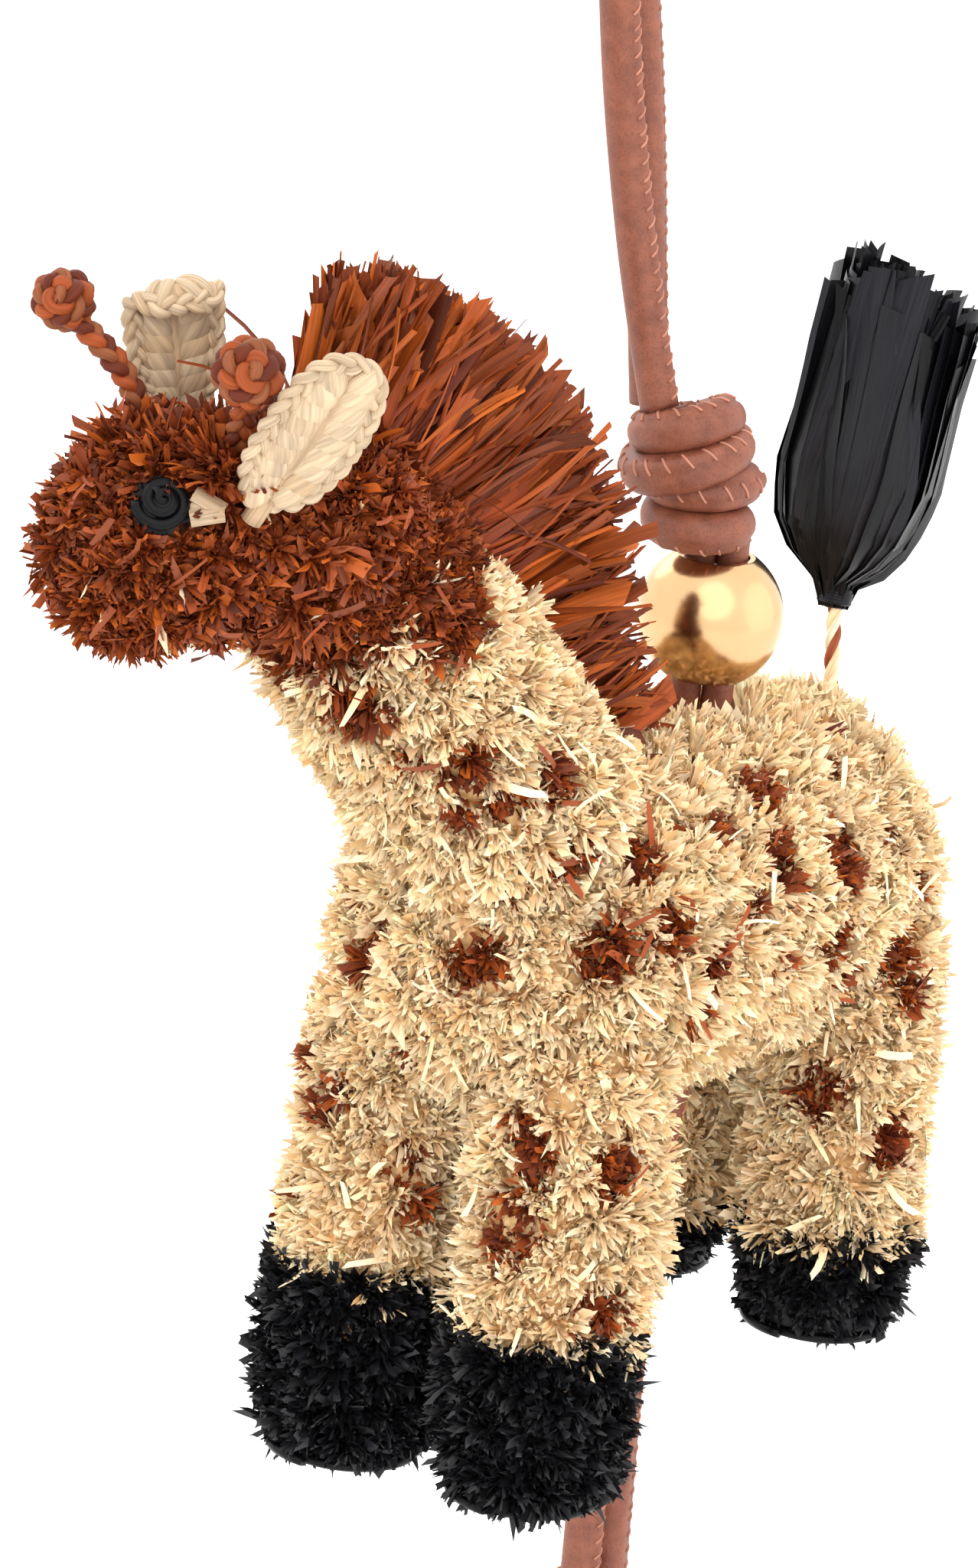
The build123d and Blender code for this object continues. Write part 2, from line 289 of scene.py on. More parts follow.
def cut_raffia(name, roughness, gloss):
    """Small cut strips: each carries its colour in the mesh, from root to tip, with painted shade towards the
    root.
    """
    look = Look(name)
    return look.done({"Base Color": look.carried_by_mesh("tint", "Color"), "Roughness": roughness,
                      "Specular IOR Level": gloss})


def strip_raffia(name, low, high, gloss, depth):
    """Broad strips: the colour that the mesh carries, painted shade towards their roots included, streaked
    and ribbed along the leaf's fibres.
    """
    look = Look(name)
    grain = look.carried_by_mesh("grain", "Vector")
    stretched = look.node("ShaderNodeVectorMath", "Vector", {0: grain, 1: (3.2, 0.16, 1.0)},
                          operation="MULTIPLY")
    fibres = look.noise(stretched, 1.0, 4.0)
    streaks = look.spread(fibres, 0.66, 1.22, 0.3, 0.7)
    return look.done({
        "Base Color": look.scaled(look.carried_by_mesh("tint", "Color"), streaks),
        "Roughness": look.spread(fibres, low, high),
        "Normal": look.bump(fibres, 0.6, depth),
        "Specular IOR Level": gloss,
    })


def leather():
    look = Look("brown_leather")
    place = look.place()
    pores = look.node("ShaderNodeTexVoronoi", "Distance", {"Vector": place, "Scale": 2600})
    cloud = look.noise(place, 420, 6)
    fine = look.noise(place, 3800, 3)
    hide = look.ramp(cloud, (0.175, 0.048, 0.024), (0.29, 0.090, 0.047), 0.3, 0.72)
    return look.done({
        "Base Color": look.scaled(hide, look.spread(fine, 0.72, 1.0, 0.34, 0.5)),
        "Roughness": look.spread(cloud, 0.42, 0.66),
        "Normal": look.bump(pores, 0.5, 0.00006),
        "Specular IOR Level": 0.45,
    })


def polished_gold():
    look = Look("polished_gold")
    wear = look.noise(look.place(), 260, 8)
    return look.done({
        "Base Color": look.ramp(wear, (0.61, 0.38, 0.19), (0.70, 0.46, 0.245)),
        "Roughness": look.spread(wear, 0.16, 0.24),
        "Metallic": 1.0,
    })


def lining(name, dark, pale):
    """The sewn backing under the pile, closely woven."""
    look = Look(name)
    weave = look.noise(look.place(), 900, 5)
    return look.done({
        "Base Color": look.ramp(weave, dark, pale, 0.35, 0.65),
        "Normal": look.bump(weave, 0.8, 0.0003),
        "Roughness": 0.85,
    })


place_camera()
light_studio()
lay_floor()
NATURAL_PILE = cut_raffia("natural_pile", 0.62, 0.25)
BROWN_PILE = cut_raffia("brown_pile", 0.5, 0.25)
BLACK_PILE = cut_raffia("black_pile", 0.42, 0.4)
NATURAL_STRIP = strip_raffia("natural_strip", 0.45, 0.7, 0.35, 0.00008)
BROWN_STRIP = strip_raffia("brown_strip", 0.42, 0.66, 0.2, 0.00010)
BLACK_STRIP = strip_raffia("black_strip", 0.2, 0.42, 0.14, 0.00012)
STITCHING = strip_raffia("stitching_thread", 0.5, 0.7, 0.35, 0.00004)
BROWN_LEATHER = leather()
POLISHED_GOLD = polished_gold()
NATURAL_LINING = lining("natural_lining", (0.60, 0.35, 0.13), (0.86, 0.58, 0.29))
BROWN_LINING = lining("brown_lining", (0.05, 0.014, 0.008), (0.20, 0.05, 0.02))
BLACK_LINING = lining("black_lining", (0.004, 0.004, 0.005), (0.012, 0.012, 0.015))


# ---- meshes ----
def add_mesh(name, verts, quads, body, material, nodes=(), tint=None, grain=None, cells=None, tris=None):
    """A piece from arrays: places in mm, faces, and each point's colour and place on its strip."""
    mesh = bpy.data.meshes.new(name)
    mesh.vertices.add(len(verts))
    mesh.vertices.foreach_set("co", to_frame(verts).astype(np.float32).ravel())
    loops = quads.ravel()
    starts = np.arange(len(quads)) * 4
    if tris is not None:
        starts = np.concatenate((starts, len(loops) + np.arange(len(tris)) * 3))
        loops = np.concatenate((loops, tris.ravel()))
    mesh.loops.add(len(loops))
    mesh.loops.foreach_set("vertex_index", loops.astype(np.int32))
    mesh.polygons.add(len(starts))
    mesh.polygons.foreach_set("loop_start", starts.astype(np.int32))
    mesh.update(calc_edges=True)
    mesh.polygons.foreach_set("use_smooth", np.ones(len(starts), bool))
    if tint is not None:
        colour = np.ones((len(verts), 4), np.float32)
        colour[:, :3] = tint
        mesh.attributes.new("tint", "FLOAT_COLOR", "POINT").data.foreach_set("color", colour.ravel())
    if grain is not None:
        mesh.attributes.new("grain", "FLOAT_VECTOR", "POINT").data.foreach_set(
            "vector", grain.astype(np.float32).ravel())
    if cells is not None:
        layer = mesh.uv_layers.new(name="OFBake")
        layer.data.foreach_set("uv", cells[loops].astype(np.float32).ravel())
    mesh.materials.append(material)
    obj = bpy.data.objects.new(name, mesh)
    bpy.context.scene.collection.objects.link(obj)
    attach(obj, body)
    if nodes:
        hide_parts(*nodes)
    return obj


def grid_faces(count, rows, cols, closed=False):
    """Quads of many (rows + 1) x (cols + 1) grids that follow each other, or of closed tubes."""
    wide = cols if closed else cols + 1
    r, c = np.meshgrid(np.arange(rows), np.arange(cols), indexing="ij")
    nxt = (c + 1) % wide
    one = np.stack((r * wide + c, r * wide + nxt, (r + 1) * wide + nxt, (r + 1) * wide + c), -1)
    offset = np.arange(count) * (rows + 1) * wide
    return (offset[:, None, None] + one.reshape(1, -1, 4)).reshape(-1, 4)


def bake_cells(count, rows, cols):
    """A square of its own in the bake map for each strip."""
    side = int(math.ceil(count ** 0.5))
    index = np.arange(count)
    corner = np.stack((index % side, index // side), -1)[:, None, None, :]
    v, u = np.meshgrid(np.linspace(0.15, 0.85, rows + 1), np.linspace(0.15, 0.85, cols + 1), indexing="ij")
    return ((corner + np.stack((u, v), -1)) / side).reshape(-1, 2)


class Strips:
    """Many curved strips of raffia, gathered and made into one piece."""

    def __init__(self, rows, cols):
        self.rows, self.cols = rows, cols
        self.points, self.colours, self.grains = [], [], []

    def add(self, root, out, face, length, width, colour, trough, bend, sway=0.0, twist=0.0, tip=0.7,
            slant=0.0, root_shade=0.6):
        """Strips leave root along out. Their broad side looks along face, which is also the way
        that a positive bend curls them. trough is the angle that their width curls through. Each
        strip's colour gets painted shade towards its root, warmer there, and the last argument is
        its brightness at the root."""
        count = len(root)
        length, width, trough, bend, sway, twist, tip, slant = (
            np.broadcast_to(np.asarray(value, float), (count,))[:, None]
            for value in (length, width, trough, bend, sway, twist, tip, slant))
        out = unit(np.broadcast_to(out, root.shape))[:, None]
        face = np.broadcast_to(face, root.shape)[:, None]
        face = unit(face - out * dot(face, out))
        side = np.cross(out, face)
        t = np.linspace(0, 1, self.rows + 1)[None]
        curl, swing = (bend * t)[..., None], (sway * t)[..., None]
        way = unit(out * np.cos(curl) * np.cos(swing) + face * np.sin(curl) + side * np.sin(swing))
        step = (way[:, 1:] + way[:, :-1]) / 2 * (length / self.rows)[..., None]
        spine = np.concatenate((root[:, None], root[:, None] + np.cumsum(step, axis=1)), axis=1)
        self.add_spine(spine, way, face, width * (1 - (1 - tip) * t ** 2), colour, trough, twist * t, slant,
                       root_shade)

    def add_spine(self, spine, way, face, width, colour, trough, turn, slant, root_shade):
        """Strips along given lines, (strip, row, xyz)."""
        count = len(spine)
        normal = unit(face - way * dot(face, way))
        across = np.cross(way, normal)
        cos, sin = np.cos(turn)[..., None], np.sin(turn)[..., None]
        across, normal = across * cos + normal * sin, normal * cos - across * sin
        u = np.linspace(-1, 1, self.cols + 1)
        trough = np.maximum(trough, 0.05)
        arc = trough[..., None] / 2 * u
        radius = (width / trough)[..., None]
        lateral, lift = radius * np.sin(arc), radius * (np.cos(arc) - 1)
        verts = (spine[:, :, None] + across[:, :, None] * lateral[..., None]
                 + normal[:, :, None] * lift[..., None])
        verts[:, -1] += way[:, -1, None] * (slant * width[:, -1:] * u)[..., None]
        t = np.linspace(0, 1, self.rows + 1)
        # painted shade: each strip is darkened towards its root, where the pile would shade it, over the
        # first three quarters of its length; blue and green are darkened more than red, a painted warmth in
        # place of light passing through the raffia
        painted_shade_weight = 1 - np.minimum(1, t * 1.35)[:, None] * np.ones(3)
        painted_shade_factor = 1 - painted_shade_weight * (1 - root_shade) * np.array((0.22, 0.88, 1.5))
        colour = np.asarray(colour)[:, None, None] * painted_shade_factor[None, :, None] * np.ones((1, 1, self.cols + 1, 1))
        steps = np.linalg.norm(np.diff(spine, axis=1), axis=-1)
        run = np.cumsum(np.concatenate((np.zeros((count, 1)), steps), axis=1), axis=1)
        grain = np.stack(np.broadcast_arrays(u[None, None] * width[..., None] / 2, run[..., None],
                                             rng.uniform(0, 900, count)[:, None, None]), -1)
        self.points.append(verts.reshape(-1, 3))
        self.colours.append(colour.reshape(-1, 3))
        self.grains.append(grain.reshape(-1, 3))

    def build(self, name, body, material, nodes, with_grain=True):
        verts = np.concatenate(self.points)
        count = len(verts) // ((self.rows + 1) * (self.cols + 1))
        grain = np.concatenate(self.grains) if with_grain else None
        add_mesh(name, verts, grid_faces(count, self.rows, self.cols), body, material, nodes,
                 np.concatenate(self.colours), grain, bake_cells(count, self.rows, self.cols))


def mixed(palette, weights, count, spread):
    """Colours drawn from a palette, each a little lighter or darker."""
    palette, odds = np.array(palette), np.array(weights) / np.sum(weights)
    picked = rng.choice(len(palette), count, p=odds)
    other = rng.choice(len(palette), count, p=odds)
    share = rng.uniform(0, 0.5, (count, 1))
    colour = palette[picked] * (1 - share) + palette[other] * share
    return np.clip(colour * rng.normal(1, spread, (count, 1)), 0.002, 0.95)


# ---- lines, tubes and braids ----
def nurbs_line(points):
    """The smooth line of a route's control points, as places in mm."""
    curve = bpy.data.curves.new("route", "CURVE")
    curve.dimensions = "3D"
    curve.resolution_u = 10
    spline = curve.splines.new("NURBS")
    spline.points.add(len(points) - 1)
    for knot, point in zip(spline.points, points):
        knot.co = (*point, 1)
    spline.order_u = 3
    spline.use_endpoint_u = True
    obj = bpy.data.objects.new("route", curve)
    mesh = bpy.data.meshes.new_from_object(obj)
    line = np.array([vert.co for vert in mesh.vertices])
    bpy.data.objects.remove(obj)
    bpy.data.curves.remove(curve)
    bpy.data.meshes.remove(mesh)
    return line


def evened(line, step):
    """The same line with its points a set distance apart."""
    run = walked(line)
    at = np.linspace(0, run[-1], max(3, int(run[-1] / step) + 1))
    return np.stack([np.interp(at, run, line[:, i]) for i in range(3)], -1)


def carried(line, start):
    """Ways along a line, and two directions across it that turn no more than the line does."""
    way = unit(np.gradient(line, axis=0))
    first = np.empty_like(line)
    first[0] = unit(start - way[0] * np.dot(start, way[0]))
    for i in range(1, len(line)):
        first[i] = unit(first[i - 1] - way[i] * np.dot(first[i - 1], way[i]))
    return way, first, np.cross(way, first)


def tube(line, section, start, scale=None):
    """Vertices, quads and end fans of a tube. section is (n, 2), across the line in mm."""
    _, first, second = carried(line, start)
    scale = np.ones(len(line)) if scale is None else scale
    ring = first[:, None] * section[None, :, :1] + second[:, None] * section[None, :, 1:]
    verts = (line[:, None] + ring * scale[:, None, None]).reshape(-1, 3)
    n = len(section)
    quads = grid_faces(1, len(line) - 1, n, closed=True)
    last = (len(line) - 1) * n
    verts = np.concatenate((verts, line[:1], line[-1:]))
    k = np.arange(n)
    tris = np.concatenate((np.stack((np.full(n, len(verts) - 2), (k + 1) % n, k), -1),
                           np.stack((np.full(n, len(verts) - 1), last + k, last + (k + 1) % n), -1)))
    return verts, quads, tris


def round_section(radius, sides, flat=1.0):
    angle = np.arange(sides) * TAU / sides
    return np.stack((np.cos(angle) * radius * flat, np.sin(angle) * radius), -1)


class Tubes:
    """Several tubes, gathered and made into one piece."""

    def __init__(self):
        self.verts, self.quads, self.tris, self.tints, self.grains, self.count = [], [], [], [], [], 0

    def add(self, line, section, start, colour, scale=None):
        verts, quads, tris = tube(line, section, start, scale)
        self.verts.append(verts)
        self.quads.append(quads + self.count)
        self.tris.append(tris + self.count)
        self.tints.append(np.broadcast_to(colour, verts.shape))
        n = len(section)
        angle = np.arange(n) * TAU / n
        size = np.linalg.norm(section, axis=1).mean()
        seed = rng.uniform(0, 900)
        grain = np.stack(np.broadcast_arrays(
            (np.cos(angle) * size * 1.6)[None], walked(line)[:, None],
            (seed + np.sin(angle) * size * 1.6)[None]), -1).reshape(-1, 3)
        self.grains.append(np.concatenate((grain, grain[:1], grain[-1:])))
        self.count += len(verts)

    def build(self, name, body, material, nodes=()):
        return add_mesh(name, np.concatenate(self.verts), np.concatenate(self.quads), body, material, nodes,
                        np.concatenate(self.tints), np.concatenate(self.grains),
                        tris=np.concatenate(self.tris))


def twisted(tubes, line, radius, strands, pitch, colours, fat=1.15):
    """Strands laid round each other along a line; radius is the whole cord's."""
    line = evened(line, pitch / 12)
    _, first, second = carried(line, np.array((0.3, 0.2, 0.93)))
    run = walked(line)
    strand_r = radius / (1 + 1 / math.sin(math.pi / strands))
    ring_r = radius - strand_r
    for k in range(strands):
        angle = run / pitch * TAU + k * TAU / strands
        path = line + first * (np.cos(angle) * ring_r)[:, None] + second * (np.sin(angle) * ring_r)[:, None]
        tubes.add(path, round_section(strand_r * fat, 8), first[0], colours[k % len(colours)])


# ---- the leather cord: it comes first ----
# its parts are the hanging loop, the knot, the squeezed core and two tails
BEND_R = PEG_R + CORD_D / 2
TOP_Z = HANG[2] + CORD_D / 2
CROWN = BEND_R * math.tan(math.radians(30))
LOOP_ROUTE = [
    cord_at(-8.8, 2.8, 119), cord_at(-12.2, 2.8, 132), cord_at(-15.2, 2.9, 146),
    cord_at(-17.7, 3.3, 160), cord_at(-19.5, 6.8, 174.5), cord_at(-20.0, 2 * CROWN, TOP_Z - BEND_R),
    cord_at(-20.0, CROWN, TOP_Z), cord_at(-20.0, -CROWN, TOP_Z),
    cord_at(-20.0, -2 * CROWN, TOP_Z - BEND_R), cord_at(-17.6, -6.8, 174.5),
    cord_at(-15.2, -3.3, 160), cord_at(-13.3, -2.9, 146), cord_at(-11.8, -2.8, 132),
    cord_at(-10.0, -2.4, 118),
]
FRONT_TAIL_ROUTE = [
    cord_at(-2.3, 1.5, EXIT_Z), cord_at(-3.2, 2.8, 19), cord_at(-3.2, 2.8, -7),
    cord_at(-2.9, 3.2, -31),
]
REAR_TAIL_ROUTE = [
    cord_at(2.0, -1.7, EXIT_Z), cord_at(-0.6, -2.8, 19), cord_at(0.1, -2.8, -14),
    cord_at(0.8, -3.0, -43),
]
STITCH_PITCH = 1.9
STITCH_R = 0.17
STITCH_TURN = (-0.34, 0.40)       # how far a stitch reaches round the cord, in radians
STITCH_SLANT = (-0.44, 0.60)
SEAM_RISE = 0.25
SEAM_WIDTH = 0.24
GROOVE_AT, GROOVE_WIDTH, GROOVE_DEPTH = 0.5, 0.13, 0.12


def seamed_section(radius, sides=36):
    """A stitched leather tube: round, with a low lip along its seam at angle 0."""
    angle = np.arange(sides) * TAU / sides
    off = np.minimum(angle, TAU - angle)
    size = (radius - SEAM_RISE + SEAM_RISE * np.exp(-(off / SEAM_WIDTH) ** 2)
            - GROOVE_DEPTH * np.exp(-((off - GROOVE_AT) / GROOVE_WIDTH) ** 2))
    return np.stack((np.cos(angle) * size, np.sin(angle) * size), -1)


def stitches(line, start, radius, scale):
    """Slanted stitches over a seam, one every STITCH_PITCH."""
    way, first, second = carried(line, start)
    run = walked(line)
    thread = Tubes()
    for place in np.arange(STITCH_PITCH * 0.7, run[-1] - STITCH_PITCH * 0.7, STITCH_PITCH):
        i = min(int(np.searchsorted(run, place)), len(line) - 1)
        angle = np.linspace(*STITCH_TURN, 6)
        hump = radius * scale[i] - 0.22 + 0.16 * np.cos(angle / 0.4 * math.pi / 2)
        slide = np.linspace(*STITCH_SLANT, 6)
        path = (line[i] + first[i] * (np.cos(angle) * hump)[:, None]
                + second[i] * (np.sin(angle) * hump)[:, None] + way[i] * slide[:, None])
        thread.add(path, round_section(STITCH_R, 6), first[i], THREAD)
    return thread


def stitched_leather(name, line, seam, node, scale=None):
    """A run of the cord along a line, and the stitches over its seam, which leaves towards seam."""
    scale = np.ones(len(line)) if scale is None else scale
    verts, quads, tris = tube(line, seamed_section(CORD_D / 2), seam, scale)
    strand = add_mesh(name, verts, quads, "cord", BROWN_LEATHER, [node], tris=tris)
    thread = stitches(line, seam, CORD_D / 2, scale)
    return [strand, thread.build(f"{name}_stitches", "cord", STITCHING)]


def leather_cord(name, route, seam, node):
    line = evened(nurbs_line(route), 0.7)
    strand, thread = stitched_leather(name, line, seam, node)


def wound(middle, turns, name, node, lean=0.0):
    """A knot's wraps. turns holds (angle in turns, distance out, height, strand size)."""
    around, out, height, size = np.array(turns, float).T[..., None]
    places = (middle + ACROSS * (np.sin(around * TAU) * out) + TOWARDS * (np.cos(around * TAU) * out)
              + UP * height + ACROSS * (height * lean))
    line = evened(nurbs_line(places), 0.5)
    scale = np.interp(np.linspace(0, 1, len(line)), np.linspace(0, 1, len(turns)), size[:, 0])
    return stitched_leather(name, line, unit(places[0] - middle + UP * 0.9), node, scale)


# the wraps are listed one by one, as the knot's turns follow no single coil
KNOT_TURNS = [
    (-0.55, 1.5, 4.6, 0.8), (-0.42, 4.0, 3.4, 0.95), (-0.27, 5.6, 2.6, 1.05), (-0.12, 6.3, 3.6, 1.08),
    (0.02, 6.3, 5.2, 1.10), (0.16, 5.2, 6.0, 1.08), (0.30, 4.6, 5.2, 1.05), (0.45, 5.6, 3.4, 1.05),
    (0.60, 6.1, 0.8, 1.05), (0.73, 6.7, -2.0, 1.08), (0.86, 6.9, -1.6, 1.12), (1.00, 7.0, 0.2, 1.14),
    (1.13, 6.6, 2.0, 1.10), (1.27, 5.8, 2.4, 1.05), (1.42, 5.4, 0.2, 1.05), (1.60, 4.4, -2.2, 1.0),
    (1.80, 3.8, -3.4, 1.0), (1.95, 4.4, -3.0, 1.05), (2.10, 5.9, -2.4, 1.12), (2.24, 6.8, -2.0, 1.14),
    (2.38, 5.8, -3.2, 1.08), (2.55, 4.8, -5.6, 1.0), (2.72, 4.6, -7.1, 1.0), (2.88, 5.0, -7.7, 1.04),
    (3.03, 5.7, -7.7, 1.08), (3.18, 6.0, -7.2, 1.08), (3.32, 4.8, -7.0, 1.0), (3.48, 2.4, -7.2, 0.9),
]
wound(cord_at(-4.3, 0, KNOT_Z), KNOT_TURNS, "knot_wraps", "cord_knot", lean=-0.16)

SMALL_TURNS = [
    (-0.5, 0.6, 3.8, 0.8), (-0.35, 1.6, 2.6, 0.86), (-0.2, 2.2, 1.6, 0.9), (0.0, 2.4, 1.3, 0.92),
    (0.2, 2.3, 1.6, 0.92), (0.4, 2.2, 0.8, 0.9), (0.6, 2.3, -0.6, 0.9), (0.8, 2.5, -1.6, 0.92),
    (1.0, 2.5, -1.7, 0.92), (1.2, 2.3, -1.2, 0.9), (1.4, 1.7, -1.6, 0.86), (1.55, 0.5, -3.4, 0.8),
]
TAILS = {"front": (FRONT_TAIL_ROUTE, 0.4), "rear": (REAR_TAIL_ROUTE, -0.2)}
tail_knots = {name: wound(route[-1] - UP * 3.2, SMALL_TURNS, f"{name}_end_knot", f"{name}_tail_knot")
              for name, (route, _) in TAILS.items()}

leather_cord("hanging_loop", LOOP_ROUTE, unit(ACROSS * 0.9 + TOWARDS * 0.45), "cord_loop")
for name, (route, seam_turn) in TAILS.items():
    leather_cord(f"{name}_tail", route, unit(ACROSS * 0.9 + TOWARDS * seam_turn), f"{name}_cord_tail")

# the CAD nodes that are carried over
DRESSED = {"cord_core": BROWN_LEATHER, "stopper_knot": BROWN_LEATHER, "bead": POLISHED_GOLD}
for node, material in DRESSED.items():
    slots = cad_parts[node].data.materials
    slots.clear()
    slots.append(material)


# ---- forms that carry the pile ----
def capsule_sites(form, spacing):
    """Even places on a capsule's surface, and the way out at each."""
    start, start_r, end, end_r = form
    length = np.linalg.norm(end - start)
    way = (end - start) / length
    e1, e2 = sideways(way)
    total = length + start_r + end_r
    mean_r = (start_r + end_r) / 2
    count = int(TAU * mean_r * total / spacing ** 2)
    s = (np.arange(count) + 0.5) / count * total - start_r + rng.normal(0, 0.22 * spacing, count)
    s = np.clip(s, -start_r + 0.01, length + end_r - 0.01)
    turn = np.arange(count) * GOLDEN + rng.normal(0, 0.22 * spacing / mean_r, count)
    t = np.clip(s, 0, length)
    radius = start_r + (end_r - start_r) * t / length
    sin = np.clip((s - t) / radius, -1, 1)[:, None]
    normal = way * sin + turned(e1, e2, turn[:, None]) * np.sqrt(1 - sin ** 2)
    return start + way * t[:, None] + normal * radius[:, None], normal


def column_sites(foot, top, foot_r, top_r, low, high, spacing):
    """The same on a leg's round side, between two heights."""
    foot, top = np.array((*foot, 0.0)), np.array((*top, LEG_TOP))
    count = int(TAU * foot_r * (high - low) / spacing ** 2)
    z = low + (np.arange(count) + 0.5) / count * (high - low) + rng.normal(0, 0.22 * spacing, count)
    turn = np.arange(count) * GOLDEN + rng.normal(0, 0.22 * spacing / foot_r, count)
    t = z[:, None] / LEG_TOP
    normal = np.stack((np.cos(turn), np.sin(turn), np.zeros(count)), -1)
    return foot + (top - foot) * t + normal * (foot_r + (top_r - foot_r) * t), normal


def hoof_sites(foot, radius, sole_z, top, spacing):
    """The same on a hoof, which is round like a pompom at the bottom."""
    profile = np.array(((radius - 6.0, 0.0), (radius - 3.7, 0.5), (radius - 1.6, 2.4), (radius - 0.3, 6.2),
                        (radius, top + 0.6 - sole_z)))
    length = walked(profile)[-1]
    count = int(TAU * 11.0 * length / spacing ** 2)
    share = np.clip((np.arange(count) + 0.5) / count + rng.normal(0, 0.2 * spacing / length, count), 0, 1)
    place = polyline(profile, share)
    slope = unit(polyline(profile, share + 0.06) - polyline(profile, share - 0.06))
    turn = np.arange(count) * GOLDEN + rng.normal(0, 0.02 * spacing, count)
    ring = np.stack((np.cos(turn), np.sin(turn), np.zeros(count)), -1)
    normal = unit(ring * slope[:, 1:] - UP * slope[:, :1])
    return np.array((*foot, sole_z)) + ring * place[:, :1] + UP * place[:, 1:], normal


def depth_in(points, form):
    """How far inside a capsule each place is."""
    start, start_r, end, end_r = form
    axis = end - start
    t = np.clip(((points - start) @ axis) / (axis @ axis), 0, 1)
    return start_r + (end_r - start_r) * t - np.linalg.norm(points - start - axis * t[:, None], axis=1)


# capsules: the middle and radius of one end, then of the other
TORSO = (np.array((-23.0, 0, 62)), 24.0, np.array((31.5, 0, 58.3)), 22.6)
NECK = (np.array((-34.0, 0, 79.5)), 17.0, np.array((-55.5, 9, 108)), 15.0)
MUZZLE = head_at(11, 0, 0)
HEAD_FORM = (head_at(-9, 0, 0), 15.0, MUZZLE, 13.0)
CHIN = head_at(9, 2, -9.5)
# each leg's middle at height 0 and at LEG_TOP, its sole's height and its hoof's top
LEGS = {
    "front_left": ((-34.0, -13.5), (-31.0, -12.2), -3.0, 18.0),
    "front_right": ((-33.6, 12.0), (-29.4, 12.6), -4.5, 18.5),
    "hind_left": ((36.0, -13.0), (35.4, -12.2), 0.0, 12.5),
    "hind_right": ((36.0, 13.2), (35.2, 12.4), 1.5, 9.5),
}


def leg_form(leg, low=0.0):
    foot, top = LEGS[leg][:2]
    return (np.array((*foot, low)), 12.2, np.array((*top, LEG_TOP)), 11.8)


# the spots, given in whole millimetres: the middle of each and its radius
SPOTS = np.array((
    (-65, 2, 95, 3.2), (-60, -2, 89, 1.6), (-62, 5, 87, 1.4), (-55, -8, 88, 2.8), (-50, -12, 84, 2.6),
    (-43, -15, 87, 2.3), (-54, -7, 82, 1.3), (-71, 7, 102, 3.0), (-58, -7, 106, 4.2), (-54, -8, 110, 3.4),
    (-41, -16, 76, 2.8), (-30, -18, 76, 3.0), (-28, -23, 69, 2.6), (-19, -24, 62, 2.8), (-37, -19, 66, 3.4),
    (-46, -6, 63, 3.4), (3, -16, 78, 3.2), (-10, -19, 76, 2.4), (-1, -22, 71, 3.2), (15, -22, 68, 3.6),
    (4, -23, 66, 1.8), (-8, -23, 65, 1.4), (13, -23, 57, 2.2), (30, -22, 52, 2.9), (19, -20, 49, 2.0),
    (21, -17, 77, 2.0), (27, -11, 81, 1.6), (17, -11, 82, 1.2), (28, -22, 68, 1.3), (35, -23, 59, 1.4),
    (-20, -23, 57, 1.9), (0, -23, 58, 1.0), (33, -24, 46, 1.4), (-47, -10, 71, 1.7), (-50, -9, 74, 1.0),
    (-44, 11, 60, 2.4), (-40, 16, 66, 1.4), (-43, 4, 49, 1.0), (-20, -18, 78, 1.2), (-40, 4, 34, 2.5),
    (-37, 2, 30, 1.9), (-44, -12, 32, 4.0), (-44, -14, 40, 3.0), (-36, -24, 40, 2.7), (-38, -24, 23, 2.4),
    (-43, -12, 44, 2.4), (-42, 20, 28, 1.2), (-38, 21, 44, 1.3), (24, -16, 33, 3.3), (32, -24, 27, 3.2),
    (45, -18, 35, 1.8),
    (-52, 20, 92, 2.6), (-44, 17, 86, 2.4), (-36, 17, 82, 2.8), (-25, 21, 73, 3.0), (-34, 22, 62, 2.6),
    (-14, 22, 70, 2.4), (-18, 24, 58, 2.8), (-3, 21, 72, 3.2), (-2, 24, 61, 2.0), (9, 22, 67, 2.6),
    (8, 23, 55, 2.4), (21, 20, 71, 3.0), (20, 23, 60, 2.2), (33, 20, 68, 2.4), (32, 23, 54, 2.8),
    (44, 14, 66, 2.2), (50, 5, 58, 2.6), (52, -4, 68, 2.0), (49, -10, 60, 2.4), (12, 16, 79, 2.2),
    (-42, 16, 40, 2.4), (-30, 24, 34, 2.8), (-37, 24, 24, 2.4), (-26, 18, 42, 2.2), (40, 24, 38, 2.8),
    (31, 24, 28, 2.4), (45, 18, 30, 2.2), (36, 25, 46, 2.4), (-30, -8, 30, 2.0), (28, -8, 24, 2.2),
    (0, 4, 38, 2.6), (-12, -8, 40, 2.2), (14, -10, 41, 2.4), (-10, 12, 41, 2.4), (40, -2, 84, 1.8),
), float)

NATURAL, BROWN, BLACK = 0, 1, 2
PALETTES = {
    NATURAL: ((CREAM, STRAW, TAN), (4.6, 4.6, 0.9), 0.06),
    BROWN: ((RUST, ORANGE, DUSKY, UMBER), (4.0, 1.5, 1.6, 2.4), 0.14),
    BLACK: ((INK, COAL), (3.0, 1.2), 0.12),
}


def spotted(places, jitter=0.35):
    away = np.linalg.norm(places[:, None] - SPOTS[None, :, :3], axis=2) - SPOTS[None, :, 3]
    return away.min(axis=1) < rng.normal(0.7, jitter, len(places))


